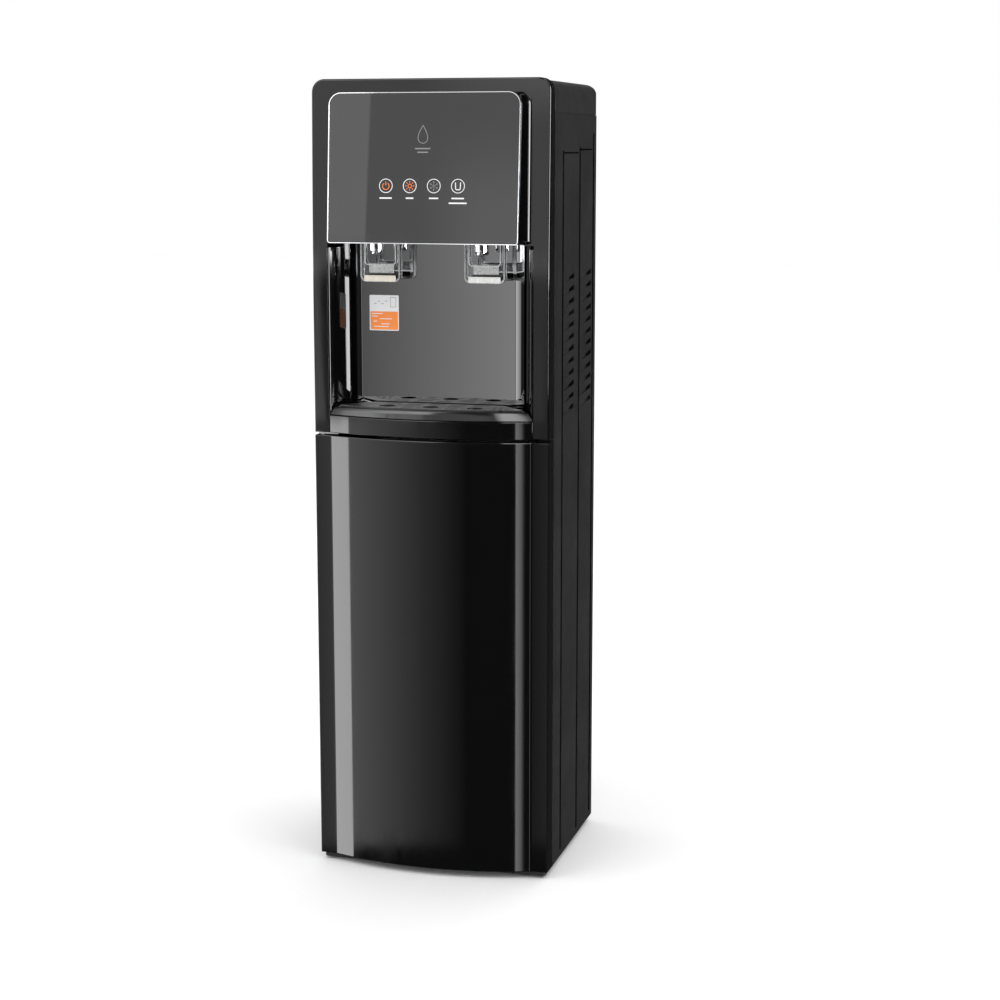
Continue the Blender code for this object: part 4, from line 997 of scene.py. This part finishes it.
def cartridges():
    """Filters with a ribbed collar, a moulded shoulder, a wing grip below and a plain label."""
    neck, ribs_count = 0.0128, 30
    for name, look in CARTRIDGE_BANDS.items():
        body = f"{name}_cartridge"
        low, high, centre, radius = round_node(f"{name}_filter")
        bottom, top = low.z + 0.014, high.z
        profile = [(0.0, top), (neck - 0.0010, top), (neck, top - 0.0010), (neck, top - 0.0120)]
        profile += [(radius - inset, top - drop) for inset, drop in CARTRIDGE_SHOULDER]
        profile += [(radius - inset, bottom + up) for inset, up in CARTRIDGE_FOOT]
        shell = [shifted(turned([*profile, (0.0, bottom)], 72), centre)]
        wing_ys = (low.y + 0.005, high.y - 0.005)
        shell.append(slab(centre.x, 0.0034, wing_ys, (low.z, bottom + 0.004), 0.0012))
        for i in range(ribs_count):
            turn = Matrix.Rotation(2 * pi * i / ribs_count, 4, "Z")
            rib = box((radius - 0.0014, -0.0009, top - 0.0520), (radius, 0.0009, top - 0.0280), 0.0004, 1)
            shell.append(shifted(moved(rib, turn), centre))
        make(f"{name}_shell", merged(*shell), "white_plastic", f"{name}_filter", body=body)
        for part, inside, outside, up, down, paint in (
            ("label", radius - 0.0004, radius, 0.0780, 0.1960, "label_white"),
            ("stripe", radius - 0.0003, radius + 0.0001, 0.0860, 0.1040, look),
        ):
            loop = [(inside, top - up), (outside, top - up), (outside, top - down), (inside, top - down)]
            make(f"{name}_{part}", shifted(turned(loop, 72), centre), paint, body=body)


def manifold():
    low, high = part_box("filter_manifold")
    block = [box(low, high, 0.0030)]
    for name in CARTRIDGE_BANDS:
        centre = round_node(f"{name}_filter")[2]
        block.append(prism(circle(centre, 0.0190), low.z, low.z + 0.012))
        rib_ys = (low.y - 0.0006, low.y + 0.002)
        block.append(slab(centre.x, 0.0280, rib_ys, (low.z + 0.008, low.z + 0.010), 0.0005))
    make("manifold_block", merged(*block), "white_plastic", "filter_manifold")


def condenser():
    """One tube that snakes up the back, with upright wires on it and a thin sheet in front."""
    low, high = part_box("condenser_panel")
    rows, radius, end_gap = 12, 0.0024, 0.012
    axis_y = high.y - 0.0026
    bottom, top = low.z + end_gap, high.z - end_gap
    pitch = (top - bottom) / (rows - 1)
    half = high.x - pitch / 2 - radius - 0.0002
    points = []
    for row in range(rows):
        z = bottom + row * pitch
        side = 1 if row % 2 == 0 else -1
        points += [(-side * half, axis_y, z), (side * half, axis_y, z)]
        if row < rows - 1:
            bend = arc((0.0, z + pitch / 2), pitch / 2, -90, 90, 12)[1:-1]
            points += [(side * (half + x), axis_y, up) for x, up in bend]
    sheet = box((low.x, low.y, low.z), (high.x, low.y + 0.0008, high.z))
    make("condenser_tube", bar(points, radius, 12), "satin_black", "condenser_panel")
    make("condenser_sheet", sheet, "satin_black", edge=0.0002)
    wires = []
    wire_count, wire_radius, margin = 44, 0.0006, 0.008
    for i in range(wire_count):
        x = low.x + margin + i * (high.x - low.x - 2 * margin) / (wire_count - 1)
        ends = [(x, high.y - wire_radius, z) for z in (low.z + 0.004, high.z - 0.004)]
        wires.append(bar(ends, wire_radius, 6))
    make("condenser_wires", merged(*wires), "satin_black")


def screw(x, y, z):
    """A pan-head screw with a cross recess, driven in towards the front."""
    radius, half = 0.0034, 0.0004
    profile = [(0.0, 0.0014), (radius * 0.6, 0.0013), (radius * 0.92, 0.0008), (radius, 0.0001)]
    head = turned([*profile, (radius, 0.0), (0.0, 0.0)], 24)
    arm, floor, above = radius * 0.5, 0.0006, 0.003
    cross = [box((-arm, -half, floor), (arm, half, above)), box((-half, -arm, floor), (half, arm, above))]
    facing = Matrix.Rotation(radians(-90), 4, "X")
    return moved(cut(head, *cross), Matrix.Translation((x, y, z)) @ facing)


def rear_details():
    """Screws and a plain rating label."""
    panel_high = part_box("rear_panel")[1]
    cover_low, cover_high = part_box("rear_lower_cover")
    screws = []
    for x in (-0.1250, 0.1250):
        for z in (panel_high.z - 0.012, panel_high.z - 0.100):
            screws.append(screw(x, panel_high.y, z))
        for z in (cover_low.z + 0.010, cover_high.z - 0.010):
            screws.append(screw(x, cover_high.y, z))
    make("rear_screws", merged(*screws), "steel")
    face, z = panel_high.y, panel_high.z - 0.074
    sheet = prism(rounded((-0.045, z), (0.045, z + 0.052), 0.002, 4), face, face + 0.0002, "Y")
    make("rating_sheet", sheet, "label_white")
    loops = []
    for row, length in enumerate((0.046, 0.030, 0.052, 0.024, 0.060)):
        up = z + 0.040 - row * 0.0080
        loops.append(rounded((0.040 - length, up), (0.040, up + 0.0026), 0.0006, 3))
    loops.append(rounded((-0.040, z + 0.006), (-0.024, z + 0.022), 0.001, 3))
    marks = [prism(loop, face + 0.0001, face + 0.0004, "Y") for loop in loops]
    make("rating_marks", merged(*marks), "label_grey")


# --- Everything else keeps its CAD shape ---

KEPT = {
    "steel": (
        *("base_pan", "partition", "tank_shelf", "strike_plate", "hinge_plate_top", "hinge_pin_bottom"),
        *("tap_bracket", "lever_pin_hot", "lever_pin_cold", "hot_tank"),
    ),
    "black_steel": ("rear_panel", "rear_lower_cover"),
    "satin_black": (
        *("door_lining", "door_magnet", "lever_switch_hot", "lever_switch_cold", "compressor"),
        "switch_plate",
    ),
    "white_plastic": ("hot_drain_plug", "cold_drain_plug", "water_inlet"),
    "silicone": ("hot_water_hose", "cold_water_hose", "inlet_hose", "filtered_water_hose"),
    "circuit_board": ("display_board",),
    "foam": ("cold_tank",),
    "copper": ("suction_tube",),
    "red_plastic": ("hot_switch",),
    "green_plastic": ("cold_switch",),
    "rubber": ("cord_gland",),
}


def keep_cad():
    for look, nodes in KEPT.items():
        for node in nodes:
            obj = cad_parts[node]
            obj.data.materials.clear()
            obj.data.materials.append(LOOKS[look].material)
            soften(obj, 0.0004)


# --- Studio ---


class Sky(Nodes):
    """Soft boxes laid out on the world in degrees from the front and up, seen only in reflections."""

    def __init__(self):
        world = bpy.data.worlds.new("studio")
        bpy.context.scene.world = world
        world.use_nodes = True
        self.tree = world.node_tree
        self.background = self.tree.nodes["Background"]
        axes = self.node("ShaderNodeSeparateXYZ")
        self.link(self.node("ShaderNodeTexCoord").outputs["Generated"], axes.inputs[0])
        round_z = self.math("ARCTAN2", axes.outputs["X"], self.times(axes.outputs["Y"], -1.0))
        self.azimuth = self.times(round_z, 180 / pi)
        self.elevation = self.times(self.math("ARCSINE", axes.outputs["Z"]), 180 / pi)
        self.total = None

    def math(self, operation, *values):
        node = self.node("ShaderNodeMath", operation=operation)
        for socket, value in zip(node.inputs, values):
            if isinstance(value, float):
                socket.default_value = value
            else:
                self.link(value, socket)
        return node.outputs[0]

    def times(self, first, second):
        return self.math("MULTIPLY", first, second)

    def ramp(self, value, start, end, low, high, kind="SMOOTHSTEP"):
        node = self.node("ShaderNodeMapRange", interpolation_type=kind)
        set_range(node, start, end, low, high)
        self.link(value, node.inputs["Value"])
        return node.outputs["Result"]

    def box(self, azimuths, elevations, levels, soft, soft_up):
        """A soft box: its azimuths, elevations, level at each side, and how wide its edges fade."""
        level = self.ramp(self.azimuth, *azimuths, *levels, "LINEAR")
        for value, edges, widths in ((self.azimuth, azimuths, soft), (self.elevation, elevations, soft_up)):
            for edge, width, ends in zip(edges, widths, ((0.0, 1.0), (1.0, 0.0))):
                level = self.times(level, self.ramp(value, edge - width / 2, edge + width / 2, *ends))
        self.total = level if self.total is None else self.math("ADD", self.total, level)

    def finish(self, ambient, camera):
        """Sets how bright the world is for rays that light surfaces and for the camera's own."""
        rays = self.node("ShaderNodeLightPath").outputs
        glossy = self.times(self.total, rays["Is Glossy Ray"])
        rest = self.times(self.math("SUBTRACT", 1.0, rays["Is Glossy Ray"]), ambient)
        seen = self.times(rays["Is Camera Ray"], camera - ambient)
        total = self.math("ADD", self.math("ADD", glossy, rest), seen)
        self.link(total, self.background.inputs["Strength"])
        self.background.inputs["Color"].default_value = (1.0, 1.0, 1.0, 1.0)


def aim(obj, where, direction):
    """Puts a lamp or the camera somewhere and turns it to look along a direction."""
    obj.location = where
    obj.rotation_euler = direction.to_track_quat("-Z", "Y").to_euler()


def studio():
    """The reflected soft boxes, a pale floor and three lamps."""
    sky = Sky()
    # Elevations of the shelf's and the cover's highlights, and the azimuth where the display's changes
    shelf, cover, display = -7.35, 5.5, -19.25
    sky.box((-180, 180), (-91, 25), (0.03, 0.03), (1, 1), (1, 30))
    # Seen in the door and the tray's shelf
    sky.box((-59, -50), (-40, shelf), (7.2, 7.2), (0.3, 0.3), (2, 0.3))
    sky.box((-50, -18), (-19.2, shelf), (1.55, 0.42), (0.1, 0.1), (0.4, 0.3))
    sky.box((-18, -2), (-19.2, shelf), (0.42, 0.02), (0.1, 0.1), (0.4, 0.3))
    sky.box((17.6, 20.4), (-40, shelf), (3.6, 1.6), (0.4, 1.8), (2, 0.3))
    # Seen in the splash panel
    sky.box((-20.5, -13.5), (shelf, -0.5), (0.10, 0.66), (0.2, 1.0), (0.3, 1.0))
    sky.box((-52, -20.5), (shelf, -0.5), (0.4, 1.3), (8.0, 0.2), (0.3, 1.0))
    # Seen in the cover's face and the display
    sky.box((-60, 10), (-1.0, cover), (1.5, 1.0), (4, 8), (1.5, 1.0))
    sky.box((-60, display), (cover, 30), (1.9, 1.9), (4, 0.08), (1.0, 10))
    sky.box((display, 10), (cover, 30), (0.75, 1.1), (0.08, 8), (1.0, 10))
    sky.box((-17.0, 10), (4.5, 8.0), (0.6, 2.4), (2.0, 4.0), (2.0, 3.0))
    # Cards that draw lines on upright edges
    sky.box((46.5, 54), (-7.6, -1.5), (24.0, 24.0), (0.6, 1.5), (0.4, 1.0))
    sky.box((64, 94), (-3.0, 24), (20.0, 20.0), (2.0, 2.0), (0.4, 10))
    sky.box((-140, -62), (-3.2, 20), (1.6, 1.6), (8.0, 4.0), (0.4, 10))
    sky.box((-150, -46), (-3.4, -1.0), (3.0, 3.0), (8.0, 4.0), (0.6, 1.5))
    # Above
    sky.box((-70, -16), (20, 60), (0.9, 4.6), (6, 3.0), (4, 10))
    sky.box((12, 24), (20, 60), (8.0, 6.0), (2.0, 6.0), (4, 10))
    sky.box((60, 300), (25, 91), (0.7, 0.7), (20, 1), (20, 1))
    sky.box((-181, -100), (25, 91), (0.7, 0.7), (1, 20), (20, 1))
    sky.finish(ambient=1.06, camera=1.0)

    shape = bmesh.new()
    bmesh.ops.create_grid(shape, x_segments=1, y_segments=1, size=14.0)
    floor = add_object("floor", finish_mesh("floor", shape))
    floor.data.materials.append(Look("floor_paint", (0.97, 0.97, 0.97), 0.9).tint(0.01, 2.0).material)
    floor.visible_glossy = False

    for name, where, height, size, energy in (
        ("key", (-1.6, -2.2, 3.2), 0.4, 2.2, 20.0),
        ("fill", (2.4, -1.2, 2.6), 0.4, 2.4, 14.0),
        ("back", (0.6, 2.6, 2.8), 0.5, 2.4, 14.0),
    ):
        light = bpy.data.lights.new(name, "AREA")
        light.size = size
        light.energy = energy
        lamp = add_object(name, light)
        aim(lamp, where, Vector((0.0, 0.0, height)) - Vector(where))
        lamp.visible_glossy = False
        lamp.visible_camera = False


def camera():
    lens = bpy.data.cameras.new("camera")
    lens.lens = 74.0
    lens.sensor_width = 36.0
    eye = add_object("camera", lens)
    azimuth, pitch = radians(15.44), radians(9.69)
    forward = (-sin(azimuth) * cos(pitch), cos(azimuth) * cos(pitch), -sin(pitch))
    aim(eye, (0.7732, -2.5779, 0.9336), Vector(forward))
    bpy.context.scene.camera = eye


camera()
studio()
BUILDERS = [door, front_cover, niche, splash, tray, grille, side_panels, top_cap, base, module]
BUILDERS += [display_marks, sticker, taps, cartridges, manifold, condenser, rear_details, keep_cad]
for build in BUILDERS:
    build()
bpy.context.scene.view_settings.view_transform = "Standard"
